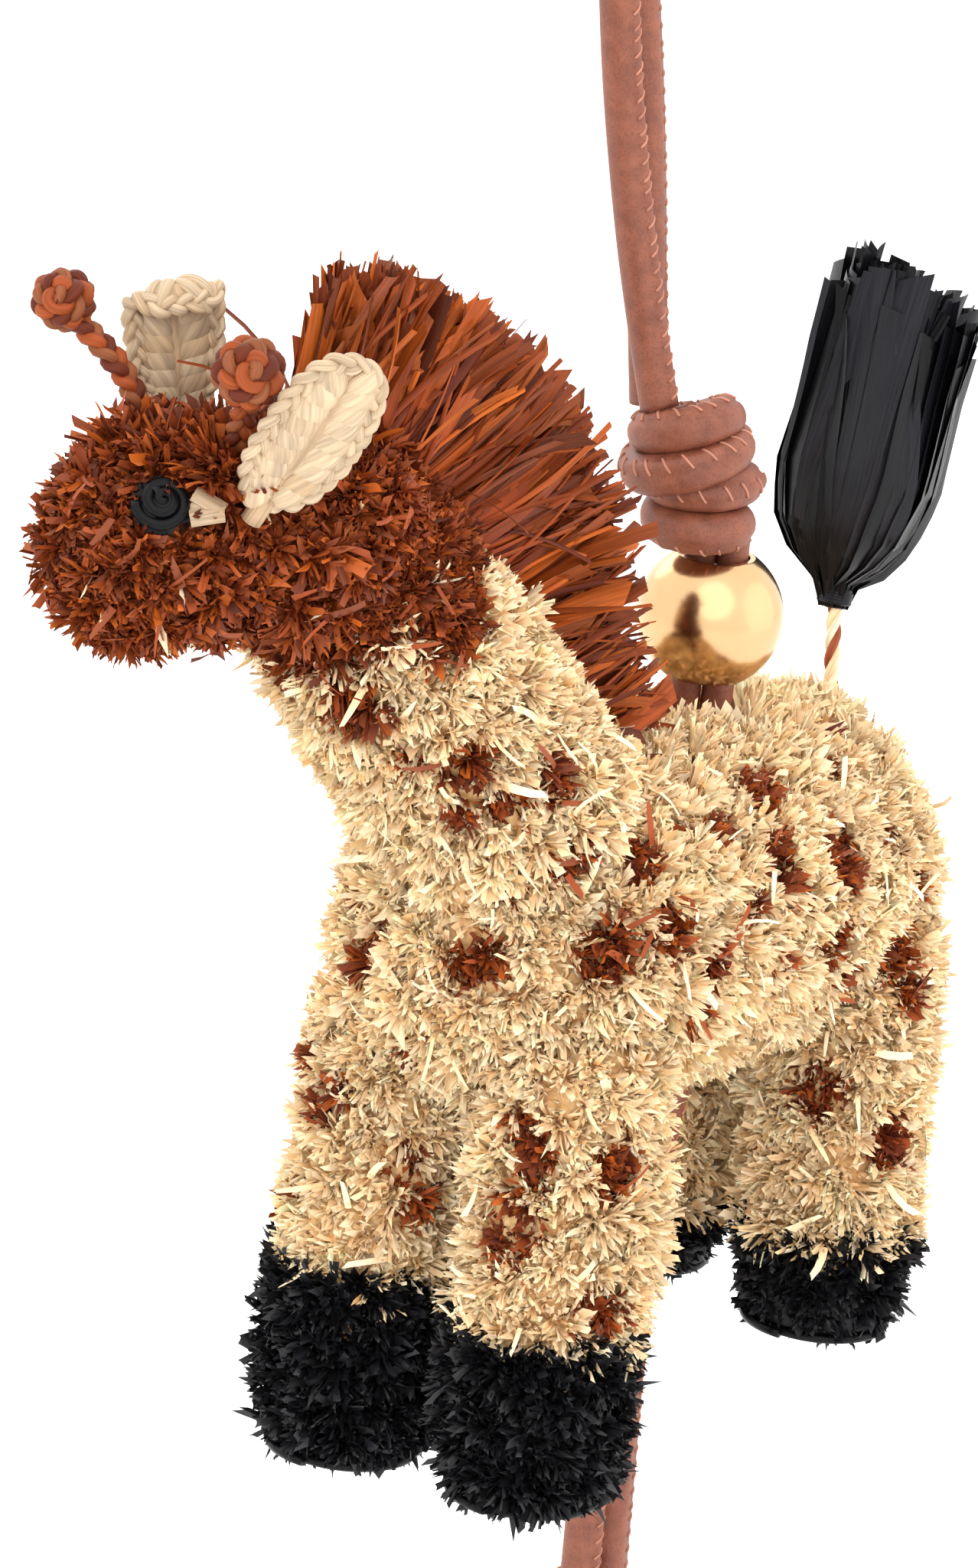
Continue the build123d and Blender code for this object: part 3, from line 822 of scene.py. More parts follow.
def add_tufts(strips, sites, normals, kind_at, per_tuft, radius, splay, reach, width, curl, depth=PILE_DEPTH,
              extra=None, dip=0.0):
    """Bunches of strips sewn in at one place and cut level, that open like small flowers. kind_at
    gives each strip's colour from where it stands, reach is how far past the surface the ends
    stand, as (mean, spread), and dip how much lower the brown ones do."""
    count = len(sites)
    tuft_out = unit(normals + rng.normal(0, 0.24, (count, 3)))
    tone = rng.normal(1, 0.05, (count, 1))
    height = rng.normal(reach[0], reach[1], count) + (0 if extra is None else extra(sites))
    start = rng.uniform(0, TAU, (count, 1))
    e1, e2 = sideways(tuft_out)
    for k in range(per_tuft):
        share = math.sqrt((k + 0.5) / per_tuft)
        radial = turned(e1, e2, start + k * GOLDEN + rng.normal(0, 0.25, (count, 1)))
        out = turned(tuft_out, radial, splay * share + rng.normal(0, 0.10, (count, 1)))
        root = sites - normals * depth + radial * (radius * share * rng.uniform(0.7, 1.2, (count, 1)))
        kind = kind_at(root + normals * depth)
        length = depth + height - dip * (kind == BROWN) + rng.normal(0, 0.35, count)
        length *= 1.04 - 0.10 * share ** 2
        colour = np.empty((count, 3))
        for name, (palette, weights, spread) in PALETTES.items():
            chosen = kind == name
            colour[chosen] = mixed(palette, weights, int(chosen.sum()), spread)
        strips.add(root, out, radial + rng.normal(0, 0.5, (count, 3)), np.maximum(length, 1.0),
                   rng.lognormal(math.log(width), 0.34, count), np.clip(colour * tone, 0.002, 0.95),
                   trough=rng.uniform(0.8, 4.8, count), bend=rng.normal(curl, 0.45, count),
                   sway=rng.normal(0, 0.3, count), twist=rng.normal(0, 0.5, count),
                   tip=rng.uniform(0.85, 1.3, count), slant=rng.normal(0, 0.45, count), root_shade=0.66)


def add_loose(strips, sites, normals, colour):
    """Long flat strips that lie over the pile here and there."""
    count = len(sites)
    along = turned(*sideways(normals), rng.uniform(0, TAU, (count, 1)))
    out = unit(along + normals * rng.uniform(0.1, 0.7, (count, 1)))
    length, width = rng.uniform(3.0, 6.0, count), rng.uniform(0.4, 1.1, count)
    strips.add(sites - normals * 1.0, out, normals, length, width, colour,
               trough=rng.uniform(0.3, 1.6, count), bend=rng.normal(-0.3, 0.4, count),
               sway=rng.normal(0, 0.4, count), twist=rng.normal(0, 0.8, count),
               tip=rng.uniform(0.4, 1, count), slant=rng.normal(0, 0.5, count), root_shade=0.85)


FILL_TUFT = 9             # strips in one of the shorter bunches between the full ones
PIECE_STRIPS = 15500      # the most strips that one piece gets
LOOSE_SHARE = 0.22


def build_pile(name, node, sampler, kept, spacing, kind_at, material, **style):
    """A node's pile: bunches, shorter filling between them and some loose strips, in as many
    pieces as its size needs, split from front to back."""
    def sown(gap):
        sites, normals = sampler(gap)
        keep = kept(sites)
        return sites[keep], normals[keep]

    sites, normals = sown(spacing)
    under, under_normals = sown(spacing * 0.78)
    filling = dict(style, per_tuft=FILL_TUFT, radius=0.8, splay=0.95, reach=(style["reach"][0] - 1.0, 0.35),
                   width=style["width"] * 1.25)
    groups = math.ceil((len(sites) * style["per_tuft"] + len(under) * FILL_TUFT) / PIECE_STRIPS)
    edges = np.quantile(sites[:, 0], np.linspace(0, 1, groups + 1))
    edges[0], edges[-1] = -1e3, 1e3
    for index, (low, high) in enumerate(zip(edges, edges[1:])):
        strips = Strips(3, 2)
        members = np.flatnonzero((sites[:, 0] >= low) & (sites[:, 0] < high))
        below = (under[:, 0] >= low) & (under[:, 0] < high)
        add_tufts(strips, sites[members], normals[members], kind_at, **style)
        add_tufts(strips, under[below], under_normals[below], kind_at, **filling)
        loose = rng.choice(members, int(len(members) * LOOSE_SHARE), replace=False)
        kind = kind_at(sites[loose])
        loose, kind = loose[kind != BLACK], kind[kind != BLACK]
        if len(loose):
            colour = np.where((kind == NATURAL)[:, None], mixed((CREAM, STRAW), (4, 1), len(loose), 0.05),
                              mixed((RUST, DUSKY), (3, 1), len(loose), 0.1))
            add_loose(strips, sites[loose], normals[loose], colour)
        label = name if groups == 1 else f"{name}_{index + 1}"
        strips.build(label, "giraffe", material, [node], with_grain=False)


def coat(places):
    return np.where(spotted(places), BROWN, NATURAL)


def neck_coat(places):
    near_head = depth_in(places, HEAD_FORM) + rng.normal(0, 0.8, len(places)) > -3.0
    crest = (places[:, 2] > 112) & (places[:, 0] > -62)
    return np.where(spotted(places) | near_head | crest, BROWN, NATURAL)


def head_coat(places):
    return np.where(rng.uniform(0, 1, len(places)) < 0.004, NATURAL, BROWN)


def chin_coat(places):
    return np.full(len(places), NATURAL)


def hoof_coat(places):
    return np.full(len(places), BLACK)


def on_torso(sites):
    keep = (depth_in(sites, NECK) < 1.2) & (np.hypot(sites[:, 0] - AXIS_X, sites[:, 1]) > 5.5)
    for leg in LEGS:
        keep &= (depth_in(sites, leg_form(leg)) < 3.5) | (sites[:, 2] > LEG_TOP + 6)
    return keep


def on_neck(sites):
    return (depth_in(sites, TORSO) < 1.2) & (depth_in(sites, HEAD_FORM) < 1.5)


def on_chin(sites):
    return np.linalg.norm(sites - CHIN, axis=1) < 4.6


def on_head(sites):
    return (depth_in(sites, NECK) < 2.0) & ~on_chin(sites) & (
        np.linalg.norm(sites - LEFT_CORNER, axis=1) > 3.0) & (np.linalg.norm(sites - LEFT_EYE, axis=1) > 3.8)


def near(sites, place, size):
    return np.exp(-(np.linalg.norm(sites - place, axis=1) / size) ** 2)


def head_relief(sites):
    """The forelock stands up round the ossicones, and the muzzle is full at the bottom."""
    return (3.4 * near(sites, head_at(5.0, 6.5, 12.0), 6.0) + 1.8 * near(sites, head_at(8.5, 0.5, 13.5), 6.5)
            + 1.6 * near(sites, head_at(14, 3, -10), 8.0) - 2.2 * near(sites, head_at(-1, 3, -14), 8.0)
            - 1.8 * near(sites, LEFT_EYE, 5.0) - 1.4 * near(sites, LEFT_CORNER, 3.0)
            + 2.0 * near(sites, head_at(14, -5, 10), 5.5) - 1.8 * near(sites, head_at(1.5, 12.5, 12.5), 4.0))


def torso_relief(sites):
    return (1.3 * near(sites, np.array((53, -6, 48)), 10.0) - 1.9 * near(sites, np.array((51, -4, 70)), 10.0)
            + 2.2 * near(sites, np.array((14, -4, 84)), 10.0))


def leg_relief(sites):
    """The hind legs are full at the back, and the near front leg on the side by the belly."""
    return 1.2 * (sites[:, 0] > 43) + 2.3 * near(sites, np.array((-26, -23, 30)), 11.0)


def neck_relief(sites):
    return 1.4 * near(sites, np.array((-67, 8, 96)), 8.0)


# the ways out of the muzzle's middle to each eye and to its corner, by the side of the head
EYE_OUT = {1: head_dir(2.5, 9, 9.7), -1: head_dir(2.5, -9, 4.6)}
CORNER_OUT = {1: head_dir(-1.7, 9, 7.6), -1: head_dir(-2.5, -9, 3.0)}
LEFT_EYE = MUZZLE + EYE_OUT[1] * 13.0
LEFT_CORNER = MUZZLE + CORNER_OUT[1] * 13.0
BODY_STYLE = dict(per_tuft=36, radius=1.05, splay=0.48, reach=(-0.25, 0.6), width=0.74, curl=0.42, dip=0.45)
SPACING = 3.6


def sites_on(form):
    return lambda spacing: capsule_sites(form, spacing)


def leg_pile(leg, foot, top, sole_z, hoof_top):
    """A leg's pile, which turns black at its foot, and its hoof's."""
    def leg_coat(places):
        ragged = places[:, 2] + rng.normal(0, 0.7, len(places)) > hoof_top
        return np.where(ragged, coat(places), BLACK)

    def on_leg(sites):
        keep = depth_in(sites, TORSO) < 1.0
        for other in LEGS:
            if other != leg:
                keep &= depth_in(sites, leg_form(other)) < 0.5
        return keep

    def on_hoof(sites):
        return np.full(len(sites), True)

    hoof_r = 11.8 if leg.startswith("front") else 11.0
    build_pile(f"{leg}_leg_tufts", f"{leg}_leg_pile",
               lambda spacing: column_sites(foot, top, 12.0, 11.8, hoof_top - 1, LEG_TOP + 5, spacing),
               on_leg, SPACING, leg_coat, NATURAL_PILE, extra=leg_relief, **BODY_STYLE)
    build_pile(f"{leg}_hoof_tufts", f"{leg}_hoof_pile",
               lambda spacing: hoof_sites(foot, hoof_r, sole_z, hoof_top, spacing),
               on_hoof, 3.1, hoof_coat, BLACK_PILE, per_tuft=30, radius=0.9, splay=0.6,
               reach=(0.1, 0.7), width=0.95, curl=0.5, depth=3.0)


build_pile("torso_pile_tufts", "torso_pile", sites_on(TORSO), on_torso, SPACING, coat, NATURAL_PILE,
           extra=torso_relief, **BODY_STYLE)
build_pile("neck_pile_tufts", "neck_pile", sites_on(NECK), on_neck, SPACING, neck_coat, NATURAL_PILE,
           extra=neck_relief, **BODY_STYLE)
build_pile("head_pile_tufts", "head_pile", sites_on(HEAD_FORM), on_head, 3.4, head_coat, BROWN_PILE,
           per_tuft=36, radius=1.0, splay=0.62, reach=(-0.6, 0.85), width=0.82, curl=0.9, extra=head_relief)
build_pile("chin_tuft_strips", "chin_tuft", sites_on(HEAD_FORM), on_chin, 3.2, chin_coat, NATURAL_PILE,
           per_tuft=32, radius=1.0, splay=0.5, reach=(0.0, 0.4), width=0.7, curl=0.4)
for leg, shape in LEGS.items():
    leg_pile(leg, *shape)


# ---- linings under the pile ----
def capsule_mesh(form, shrink, rings=28, sides=40):
    start, start_r, end, end_r = form
    length = np.linalg.norm(end - start)
    way = (end - start) / length
    e1, e2 = sideways(way)
    first = np.linspace(-math.pi / 2, 0, rings // 2)
    last = first + math.pi / 2
    start_r, end_r = start_r - shrink, end_r - shrink
    s = np.concatenate((np.sin(first) * start_r, length + np.sin(last) * end_r))
    size = np.concatenate((np.cos(first) * start_r, np.cos(last) * end_r))
    line = start + way * s[:, None]
    ring = turned(e1, e2, (np.arange(sides) * TAU / sides)[:, None])
    verts = (line[:, None] + ring[None] * np.maximum(size, 0.02)[:, None, None]).reshape(-1, 3)
    return verts, grid_faces(1, len(line) - 1, sides, closed=True)


LINING_DEPTH = PILE_DEPTH - 0.4


def build_lining(name, form, material):
    """A stuffed lining, a little lumpy, in place of the stuffing of the same name."""
    verts, quads = capsule_mesh(form, LINING_DEPTH)
    way = unit(form[2] - form[0])
    wave = np.sin(verts @ np.array((0.9, 0.5, 0.7))) * np.sin(verts @ np.array((-0.4, 0.8, 0.6)))
    away = verts - form[0] - way * ((verts - form[0]) @ way)[:, None]
    verts = verts + unit(away) * (wave * 0.35)[:, None] * (np.linalg.norm(away, axis=1, keepdims=True) > 1)
    obj = add_mesh(f"{name}_lining", verts, quads, "giraffe", material, [f"{name}_stuffing"])


build_lining("torso", TORSO, NATURAL_LINING)
build_lining("neck", NECK, NATURAL_LINING)
build_lining("head", HEAD_FORM, BROWN_LINING)
for leg, (foot, top, sole_z, hoof_top) in LEGS.items():
    build_lining(f"{leg}_leg", leg_form(leg, 12.0), NATURAL_LINING)
    middle = (sole_z + hoof_top) / 2
    hoof = (np.array((*foot, middle - 0.5)), 12.0, np.array((*foot, middle + 0.5)), 12.0)
    verts, quads = capsule_mesh(hoof, PILE_DEPTH - 0.8)
    verts[:, 2] = np.clip(verts[:, 2], sole_z + 1.3, hoof_top - 1)
    add_mesh(f"{leg}_hoof_lining", verts, quads, "giraffe", BLACK_LINING, [f"{leg}_hoof_pile"])


# ---- mane ----
# the mane stands in one upright plane: MANE_X runs back along it, and MANE_OUT to its left side
MANE_ORIGIN = np.array((-32.0, 2.0, 0.0))
MANE_X = unit(np.array((0.977, -0.216, 0.0)))
MANE_OUT = unit(np.array((-0.216, -0.977, 0.0)))
MANE_FOOT = [(-41, 125), (-24, 119), (-13, 112), (-4, 99), (6, 85), (27, 80)]
MANE_SEAM = [(-43, 133), (-25, 129.5), (-10, 122), (2, 107), (13.5, 93.5), (28, 88.5)]
MANE_TIPS = [
    (-34.5, 136), (-31.5, 144.6), (-25, 145.4), (-9, 137.5), (7, 125), (14.5, 112), (18, 100), (23, 91),
]
MANE_SINK = 3.0           # how far under the pile the strips start
MANE_CALM = 0.22          # the share of the fan, from its front, over which the strips curl less
FAN_STRIPS, LOW_STRIPS, BAND_STRIPS = 1900, 46, 260


def mane_at(flat, out):
    return MANE_ORIGIN + MANE_X * flat[:, :1] + UP * flat[:, 1:] + MANE_OUT * np.asarray(out)[:, None]


def mane_fan(strips):
    """The fan itself, from its front to its back."""
    count = FAN_STRIPS
    broad = rng.uniform(0, 1, count) < 0.22
    share = np.sort(rng.uniform(0, 1, count))
    rooted = np.interp(share, (0, 0.2, 0.4, 0.6, 0.8, 1), (0, 0.10, 0.22, 0.33, 0.52, 0.84))
    foot = polyline(MANE_FOOT, np.clip(rooted + rng.normal(0, 0.035, count), 0, 1))
    run = polyline(MANE_TIPS, share) - foot
    foot = foot - unit(run) * MANE_SINK
    side = rng.uniform(-1, 1, count)
    root = mane_at(foot, side * 1.9)
    reach = rng.choice((1.0, 0.86, 0.66), count, p=(0.5, 0.32, 0.18))
    reach *= np.minimum(rng.normal(1.0, 0.05, count), 1.02)
    out = side * (2.2 + 3.4 * share) + rng.normal(0, 0.9, count)
    along = mane_at(foot + (run + unit(run) * MANE_SINK) * reach[:, None], out) - root
    colour = mixed((RUST, ORANGE, DUSKY, UMBER), (4.0, 1.8, 1.4, 2.2), count, 0.17) * (0.9, 0.85, 0.7)
    face = MANE_OUT * np.sign(side)[:, None] + rng.normal(0, 0.7, (count, 3))
    hooked = rng.uniform(0, 1, count) < 0.16
    calm = np.interp(share, (0, MANE_CALM), (0.3, 1))
    bow = np.where(hooked, rng.normal(0.95, 0.35, count), rng.normal(0.1, 0.42, count))
    bow = np.clip(bow, -0.8, 1.4) * calm
    sway = np.clip(rng.normal(0, 0.32, count), -0.6, 0.6) * calm
    way = unit(along)
    width = np.where(broad, rng.uniform(1.8, 3.0, count), rng.lognormal(math.log(0.95), 0.36, count))
    trough = np.where(broad, rng.uniform(0.3, 1.6, count), rng.uniform(0.5, 3.6, count))
    strips.add(root, way - unit(face - way * dot(face, way)) * (bow / 2)[:, None], face,
               np.linalg.norm(along, axis=1), width, colour, trough=trough, bend=bow, sway=sway,
               twist=rng.normal(0, 0.9, count), tip=rng.uniform(0.6, 1.15, count),
               slant=rng.normal(0, 0.4, count), root_shade=0.5)


def mane_low_strips(strips):
    """Short loose strips at the foot of the mane, by the bead."""
    count = LOW_STRIPS
    share = rng.uniform(0.5, 0.9, count)
    side = rng.uniform(-1, 1, count)
    foot = polyline(MANE_FOOT, share) + np.stack((rng.normal(-3, 2, count), rng.normal(1.5, 1.5, count)), -1)
    out = MANE_X * rng.normal(0.7, 0.2, (count, 1)) + UP * rng.normal(-0.35, 0.3, (count, 1)) + (
        MANE_OUT * (side * 0.8)[:, None])
    face = UP + MANE_OUT * (side * 1.2)[:, None] + rng.normal(0, 0.4, (count, 3))
    strips.add(mane_at(foot, side * 3.0), out, face, rng.uniform(4, 7.5, count), rng.uniform(1.2, 2.6, count),
               mixed((DUSKY, UMBER, RUST), (4, 2, 2), count, 0.15), trough=rng.uniform(0.6, 2.6, count),
               bend=rng.normal(-0.35, 0.35, count), sway=rng.normal(0, 0.3, count),
               twist=rng.normal(0, 0.7, count), tip=rng.uniform(0.5, 1.0, count),
               slant=rng.normal(0, 0.9, count), root_shade=0.6)


def mane_band(strips):
    """The stitches that cover the band."""
    count = BAND_STRIPS
    share = rng.uniform(0, 1, count)
    seam = polyline(MANE_FOOT, share) * 0.6 + polyline(MANE_SEAM, share) * 0.4
    side = rng.uniform(-1, 1, count)
    out = unit(MANE_X * rng.normal(0, 1, (count, 1)) + UP * rng.normal(0, 1, (count, 1)))
    strips.add(mane_at(seam, side * 1.9), out, MANE_OUT * np.sign(side)[:, None], rng.uniform(3, 5, count),
               rng.uniform(0.8, 1.6, count), mixed((UMBER, RUST), (3, 1), count, 0.15),
               trough=rng.uniform(0.5, 2, count), bend=rng.normal(-0.4, 0.4, count), root_shade=0.8)


mane, band = Strips(8, 3), Strips(3, 2)
mane_fan(mane)
mane_low_strips(mane)
mane.build("mane_strips", "giraffe", BROWN_STRIP, ["mane"])
mane_band(band)
band.build("mane_band_stitches", "giraffe", BROWN_STRIP, ["mane_band"])


# ---- tail ----
TAIL_ROOT = np.array((47.4, 0.9, 74.5))
TASSEL_START = np.array((46.6, 3.5, 74.8))
TAIL = unit(np.array((0.28, 0, 1.0)))
TASSEL_FOOT = 12.5
TASSEL_TOP = 54.0


TASSEL_ROWS = 12
# the tassel's radius at heights over its start
TASSEL_HEIGHTS = np.array((TASSEL_FOOT - 0.6, TASSEL_FOOT + 2.2, 17, 21, 28, 40, TASSEL_TOP))
TASSEL_RADII = np.array((1.3, 1.7, 5.0, 8.4, 10.3, 9.9, 10.6))
TASSEL_SAG = np.array((-0.5, 0.9, 0))
BINDING_TURNS, BINDING_HEIGHT, BINDING_R, BINDING_WIRE = 4.5, 1.7, 1.9, 0.34


def tassel_layer(strips, count, shares, width, height, lean):
    """Flat strips that swell out of the binding, run up together and end in a ragged top."""
    e1, e2 = sideways(TAIL)
    t = np.linspace(0, 1, TASSEL_ROWS + 1)
    angle = rng.uniform(0, TAU, count)
    share = np.sqrt(rng.uniform(shares[0] ** 2, shares[1] ** 2, count))
    near_edge = np.cos(angle) * (e1 @ -ACROSS) + np.sin(angle) * (e2 @ -ACROSS)
    top = TASSEL_TOP + rng.uniform(*height, count) + 2.2 * near_edge
    place = TASSEL_HEIGHTS[0] + (top[:, None] - TASSEL_HEIGHTS[0]) * t
    reach = np.interp(place, TASSEL_HEIGHTS, TASSEL_RADII) * share[:, None]
    drift = angle[:, None] + rng.normal(0, 0.3, (count, 1)) * t ** 2
    spine = (TASSEL_START + TAIL * place[..., None] + e1 * (np.cos(drift) * reach)[..., None]
             + e2 * (np.sin(drift) * reach)[..., None])
    belly = np.interp(place, (TASSEL_FOOT, 20, 30, TASSEL_TOP), (0, 1, 0.75, 0.1))[..., None]
    spine += TASSEL_SAG * belly
    way = unit(np.gradient(spine, axis=1))
    face = turned(e1, e2, angle[:, None])[:, None] + rng.normal(0, lean, (count, 1, 3))
    broad = rng.uniform(*width, count)[:, None] * (0.4 + 0.6 * np.minimum(1, t * 3.4))
    ragged = 1 - rng.uniform(0, 0.3, (count, 1)) * np.clip(t - 0.8, 0, 1) * 5
    # the last 0.8 is the strips' brightness at the root, under painted shade
    strips.add_spine(spine, way, face, broad * ragged, mixed((INK, COAL), (2, 1.2), count, 0.25),
                     rng.uniform(0.1, 1.1, (count, 1)), rng.normal(0, 0.6, (count, 1)) * t,
                     rng.normal(0, 0.2, (count, 1)), 0.8)


def tail():
    cord = Tubes()
    foot = TASSEL_START + TAIL * TASSEL_FOOT
    way = unit(foot - TAIL_ROOT)
    twisted(cord, np.array([TAIL_ROOT - way * 1.4, TAIL_ROOT + way * 7, foot + TAIL * 1.2]),
            0.95, 3, 7.0, (CREAM, RUST, STRAW))
    cord.build("tail_twist", "tail", NATURAL_STRIP, ["tail_cord"])

    binding = Tubes()
    share = np.linspace(0, 1, 90)[:, None]
    ring = foot + TAIL * share * BINDING_HEIGHT
    ring = ring + BINDING_R * turned(*sideways(TAIL), share * BINDING_TURNS * TAU)
    binding.add(ring, round_section(BINDING_WIRE, 8), TAIL, COAL)
    binding.build("tassel_wrap", "tail", BLACK_STRIP, ["tassel_binding"])

    strips = Strips(TASSEL_ROWS, 4)
    tassel_layer(strips, 130, (0.05, 0.78), (2.0, 4.0), (-5, 0.5), 0.7)
    tassel_layer(strips, 95, (0.75, 1.0), (3.2, 6.2), (-8, 0.5), 0.26)
    strips.build("tassel_strips", "tail", BLACK_STRIP, ["tail_tassel"])


tail()


# ---- eyes ----
def coil_dome(tubes, middle, out, radius, height, wire, colour):
    """A flat strand coiled up a dome, from its rim to its top."""
    turns = radius / (wire * 1.7)
    share = np.linspace(0, 1, int(turns * 22))[:, None]
    r = radius * (1 - share) + 0.05
    rise = height * np.sqrt(np.maximum(0, 1 - (r / radius) ** 2)) - 0.1
    line = middle + out * rise + turned(*sideways(out), share * turns * TAU) * r
    tubes.add(line, round_section(wire, 8, 0.9), out, colour)


# the rings of petals round an eye: how many, how far out they start, their length and height
EYE_PETALS = ((11, 1.4, 3.3, 0.8), (8, 1.0, 2.8, 1.4), (6, 0.4, 2.2, 1.8))


def eye(side, name, sink):
    out = EYE_OUT[side]
    middle = MUZZLE + out * sink
    e1, e2 = sideways(out)
    petals = Strips(6, 4)
    for count, start_r, length, rise in EYE_PETALS:
        angle = np.arange(count)[:, None] * TAU / count + rng.normal(0, 0.2, (count, 1))
        radial = turned(e1, e2, angle)
        around = e2 * np.cos(angle) - e1 * np.sin(angle)
        petals.add(middle + radial * start_r + out * rise, radial * 0.7 + around * 0.9, out + radial * 0.5,
                   rng.normal(length, 0.3, count), rng.uniform(1.6, 2.4, count),
                   mixed((INK, COAL), (2, 1), count, 0.2), trough=rng.uniform(0.8, 2.0, count),
                   bend=rng.normal(-1.3, 0.2, count), sway=-0.6, twist=rng.normal(0, 0.25, count), tip=0.8)
    petals.build(f"{name}_eye_petals", "giraffe", BLACK_STRIP, [f"{name}_eye"])
    coil = Tubes()
    coil_dome(coil, middle + out * 1.4, out, 1.0, 0.5, 0.4, INK)
    coil_dome(coil, middle + out * 0.1, out, 2.9, 1.4, 0.75, INK)
    coil.build(f"{name}_eye_coil", "giraffe", BLACK_STRIP, [f"{name}_eye"])

    corner_out = CORNER_OUT[side]
    corner = MUZZLE + corner_out * 12.9
    toward = unit(middle - corner)
    fan = unit(np.cross(corner_out, toward)) * np.array((-1.0, 0.9, 0.0))[:, None]
    stitch = Strips(5, 3)
    stitch.add(corner - toward * 1.9 + fan * 0.2 + corner_out * 1.6, toward + fan * 0.4,
               corner_out + rng.normal(0, 0.1, (3, 3)), np.full(3, 3.9), np.full(3, 2.2),
               mixed((EAR_CREAM, EAR_STRAW), (3, 1), 3, 0.05), trough=1.2, bend=(-0.1, -0.2, -0.3), tip=1.0,
               root_shade=0.9)
    stitch.build(f"{name}_eye_stitch", "giraffe", NATURAL_STRIP, [f"{name}_eye_corner"])


eye(1, "left", 12.2)
eye(-1, "right", 11.4)


# ---- ears: two rows of plaits inside a plaited rim ----
def plaited(tubes, line, normal, radius, pitch, colours, flat=0.8):
    """Three strands plaited along a line. normal is the plait's broad side, at each place."""
    side = np.cross(unit(np.gradient(line, axis=0)), normal)
    for k, colour in enumerate(colours):
        phase = (walked(line) / pitch * TAU + k * TAU / 3)[:, None]
        path = line + side * (np.sin(phase) * radius * 0.56) + normal * (np.sin(2 * phase) * radius * 0.34)
        tubes.add(path, round_section(radius * 0.52, 8, flat), normal[0], colour)


def leaf(tubes, bend_to, middle, way, length, width, thick, colour):
    """One plump stitch, pointed at both ends, laid on a bent blade."""
    t = np.linspace(-1, 1, 17)
    flat = np.array(middle) + np.array(way) * (t * length / 2)[:, None]
    line = bend_to(flat[:, 0], flat[:, 1], 0.35 * (1 - t ** 2))
    scale = np.sqrt(np.maximum(0.03, 1 - np.abs(t) ** 2.2))
    foot = flat[:1].T
    normal = (bend_to(*foot, 1.0) - bend_to(*foot, 0.0))[0]
    angle = np.arange(10) * TAU / 10
    section = np.stack((np.cos(angle) * thick / 2, np.sin(angle) * width / 2), -1)
    tubes.add(line, section, normal, colour, scale)


def ear(name, side, lean, fold, breadth):
    root = head_at(3.3, 12 * side, 9)
    tip = head_dir(*lean)
    flat = unit(LEFT - tip * (LEFT @ tip))
    broad = np.cross(tip, flat)

    def bend_to(a, b, c):
        """Blade coordinates along, across and out of the blade, folded over past the crease."""
        c = np.broadcast_to(c, np.shape(a))
        if not fold:
            cupped = flat * (c + 0.5 * np.sin(a / 7))[:, None]
            return root + tip * (a + 0.3)[:, None] + broad * b[:, None] + cupped
        crease = EAR_LENGTH * 0.7 - 0.09 * b ** 2
        past = np.maximum(0, a - crease)
        angle = np.minimum(past / EAR_FOLD_R, math.radians(165))
        rest = past - angle * EAR_FOLD_R
        up = np.minimum(a, crease) + np.sin(angle) * (EAR_FOLD_R - c) + np.cos(angle) * rest
        outward = EAR_FOLD_R * (1 - np.cos(angle)) + c * np.cos(angle) + np.sin(angle) * rest
        widened = broad * (b * (1 + 0.012 * a))[:, None]
        return root + tip * (up - 1.2)[:, None] + widened + flat * outward[:, None]

    def shades(count):
        return mixed((EAR_CREAM, EAR_STRAW), (5, 1), count, 0.04)

    plaits = Tubes()
    half_l, half_w = EAR_LENGTH / 2, EAR_WIDTH / 2 * breadth
    leaf(plaits, bend_to, (half_l, 0.0), (1.0, 0.0), EAR_LENGTH - 2.6, 2 * half_w - 2.4, 0.9, EAR_STRAW)
    for row in range(EAR_ROWS):
        a = 2.5 + row * 2.0
        room = half_w * (1 - abs((a + 0.6 - half_l) / half_l) ** 2.6) ** (1 / 2.6) - 1.5
        for sign in (-1, 1):
            slope = 0.62 + rng.normal(0, 0.08)
            way = unit(np.array((1.0, sign * slope)))
            leaf(plaits, bend_to, (a + 0.5 * sign, sign * room * 0.48), way, 4.9, max(1.6, room * 0.95), 1.9,
                 shades(1)[0])
    angle = np.linspace(0, TAU, 150)
    a = half_l - (half_l - 1.3) * np.sign(np.cos(angle)) * np.abs(np.cos(angle)) ** 0.82
    b = (half_w - 1.25) * np.sign(np.sin(angle)) * np.abs(np.sin(angle)) ** 0.82
    rim = bend_to(a, b, 0.0)
    lifted = bend_to(a, b, 1.0)
    way = unit(np.gradient(rim, axis=0))
    normal = unit((lifted - rim) - way * dot(lifted - rim, way))
    plaited(plaits, rim, normal, 1.35, 6.4, shades(3))
    stub = np.array([root - tip * 1.6, root - tip * 0.4, root + tip * 1.6])
    plaits.add(stub, round_section(1.3, 10), flat, EAR_STRAW)
    plaits.build(f"{name}_ear_plaits", f"{name}_ear", NATURAL_STRIP, [f"{name}_ear"])


ear("left", 1, (-0.38, 0.20, 0.90), False, 1.24)
ear("right", -1, (0.06, -0.20, 0.90), True, 1.04)


# ---- ossicones: a plaited stem, and a plait coiled into a ball ----
LEFT_OSSICONE = (4.5, 7.0, 11.8)
RIGHT_OSSICONE = (11.2, -6.6, 11.5)
KNOB_TURNS = 3.1


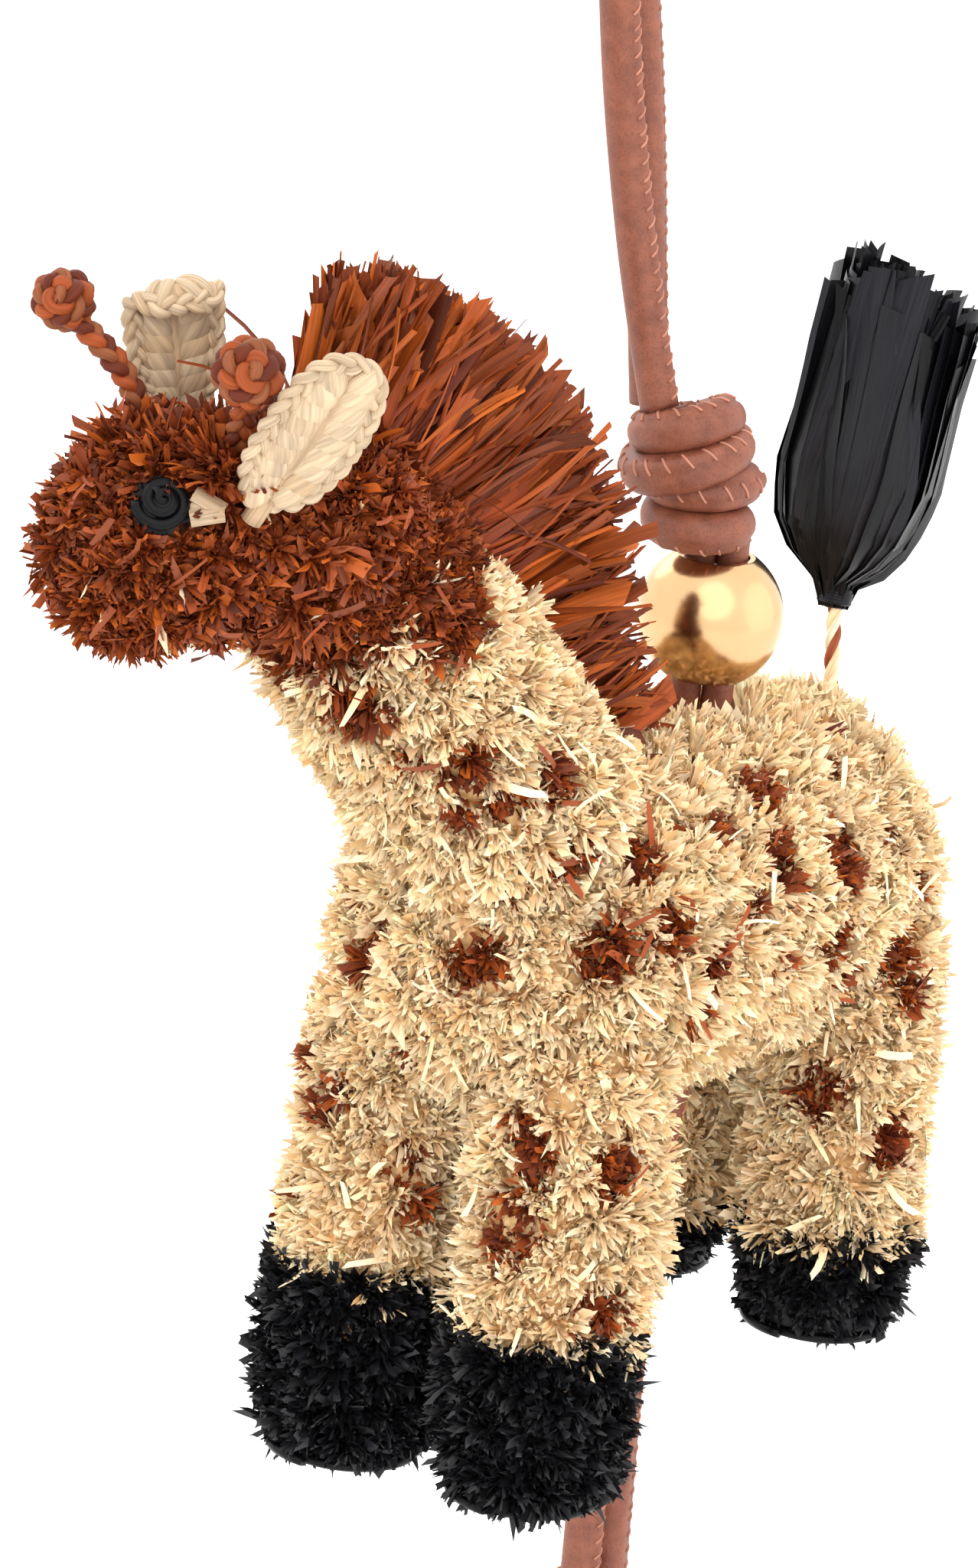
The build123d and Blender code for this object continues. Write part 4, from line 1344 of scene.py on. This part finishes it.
def ossicone(name, root, lean, length, knob_r, kink, bow):
    foot = head_at(*root)
    way = head_dir(*lean)
    side = unit(np.cross(way, HEAD_UP))
    stem = Tubes()
    route = [foot - way * 1.5, foot + way * length * 0.3 + side * kink + ACROSS * bow * 0.7,
             foot + way * length * 0.8 - side * kink + ACROSS * bow, foot + way * (length + 1.2)]
    line = evened(nurbs_line(route), 0.4)
    normal = np.broadcast_to(unit(np.cross(side, way)), line.shape)
    plaited(stem, line, normal, 1.55, 6.0, (BARK, UMBER, RUST))
    stem.build(f"{name}_ossicone_braid", f"{name}_ossicone", BROWN_STRIP,
               [f"{name}_ossicone_stem"])

    middle = foot + way * (length + knob_r - 0.6)
    ball = Tubes()
    axis = unit(way * 0.5 + TOWARDS * 0.8)
    a1, a2 = sideways(axis)
    plait_r = knob_r * 0.36
    share = np.linspace(0.02, 0.9, 240)[:, None]
    polar = share * math.pi
    r = knob_r * 0.93 - plait_r * 0.8
    around = turned(a1, a2, share * TAU * KNOB_TURNS)
    line = middle + axis * (np.cos(polar) * r) + around * (np.sin(polar) * r)
    plaited(ball, line, unit(line - middle), plait_r * 1.15, 6.0, (RUST, BARK, UMBER))
    core = middle + axis * np.linspace(-0.62, 0.62, 12)[:, None] * knob_r
    bulge = np.sqrt(np.maximum(0.02, 1 - np.linspace(-1, 1, 12) ** 2))
    ball.add(core, round_section(knob_r * 0.66, 14), a1, UMBER, bulge)
    ball.build(f"{name}_ossicone_ball", f"{name}_ossicone", BROWN_STRIP,
               [f"{name}_ossicone_knob"])


ossicone("left", LEFT_OSSICONE, (1.2, 3.9, 13.4), 10.6, 4.3, 0.3, 0.0)
ossicone("right", RIGHT_OSSICONE, (6.0, -8.6, 11.6), 12.4, 3.8, 1.0, 2.6)


def forelock(name, root, lean, count, length):
    """Tall brown strips that stand round an ossicone's foot and hide it."""
    foot, way = head_at(*root), head_dir(*lean)
    palette, weights, spread = PALETTES[BROWN]
    radial = turned(*sideways(way), rng.uniform(0, TAU, (count, 1)))
    strips = Strips(4, 2)
    root = foot + radial * rng.uniform(1.6, 3.6, (count, 1)) - way * 2.5
    out = way + radial * np.clip(rng.normal(0.08, 0.18, (count, 1)), -0.2, 0.26)
    strips.add(root, out, radial + rng.normal(0, 0.4, (count, 3)),
               np.minimum(rng.normal(length, 0.9, count), length + 0.8),
               rng.lognormal(math.log(0.85), 0.3, count), mixed(palette, weights, count, spread),
               trough=rng.uniform(0.8, 4, count), bend=np.clip(rng.normal(0.9, 0.5, count), 0.1, 1.5),
               sway=np.clip(rng.normal(0, 0.4, count), -0.5, 0.5), twist=rng.normal(0, 0.6, count),
               tip=rng.uniform(0.8, 1.2, count), root_shade=0.66)
    strips.build(f"{name}_forelock", "giraffe", BROWN_PILE, ["head_pile"], with_grain=False)


forelock("left", LEFT_OSSICONE, (1.3, 2.4, 13.4), 300, 7.4)
forelock("right", RIGHT_OSSICONE, (6.0, -8.6, 11.6), 160, 3.6)


# ---- soles ----
SOLE_TURNS, SOLE_R, SOLE_WIRE = 8.5, 9.0, 0.6
for leg, (foot, top, sole_z, hoof_top) in LEGS.items():
    coil = Tubes()
    share = np.linspace(0, 1, 420)[:, None]
    line = np.array((*foot, sole_z + SOLE_WIRE)) + turned(
        np.array((1.0, 0, 0)), np.array((0, 1.0, 0)), share * TAU * SOLE_TURNS) * (0.3 + share * SOLE_R)
    coil.add(line, round_section(SOLE_WIRE, 8), UP, INK)
    coil.build(f"{leg}_sole_coil", "giraffe", BLACK_STRIP, [f"{leg}_sole"])
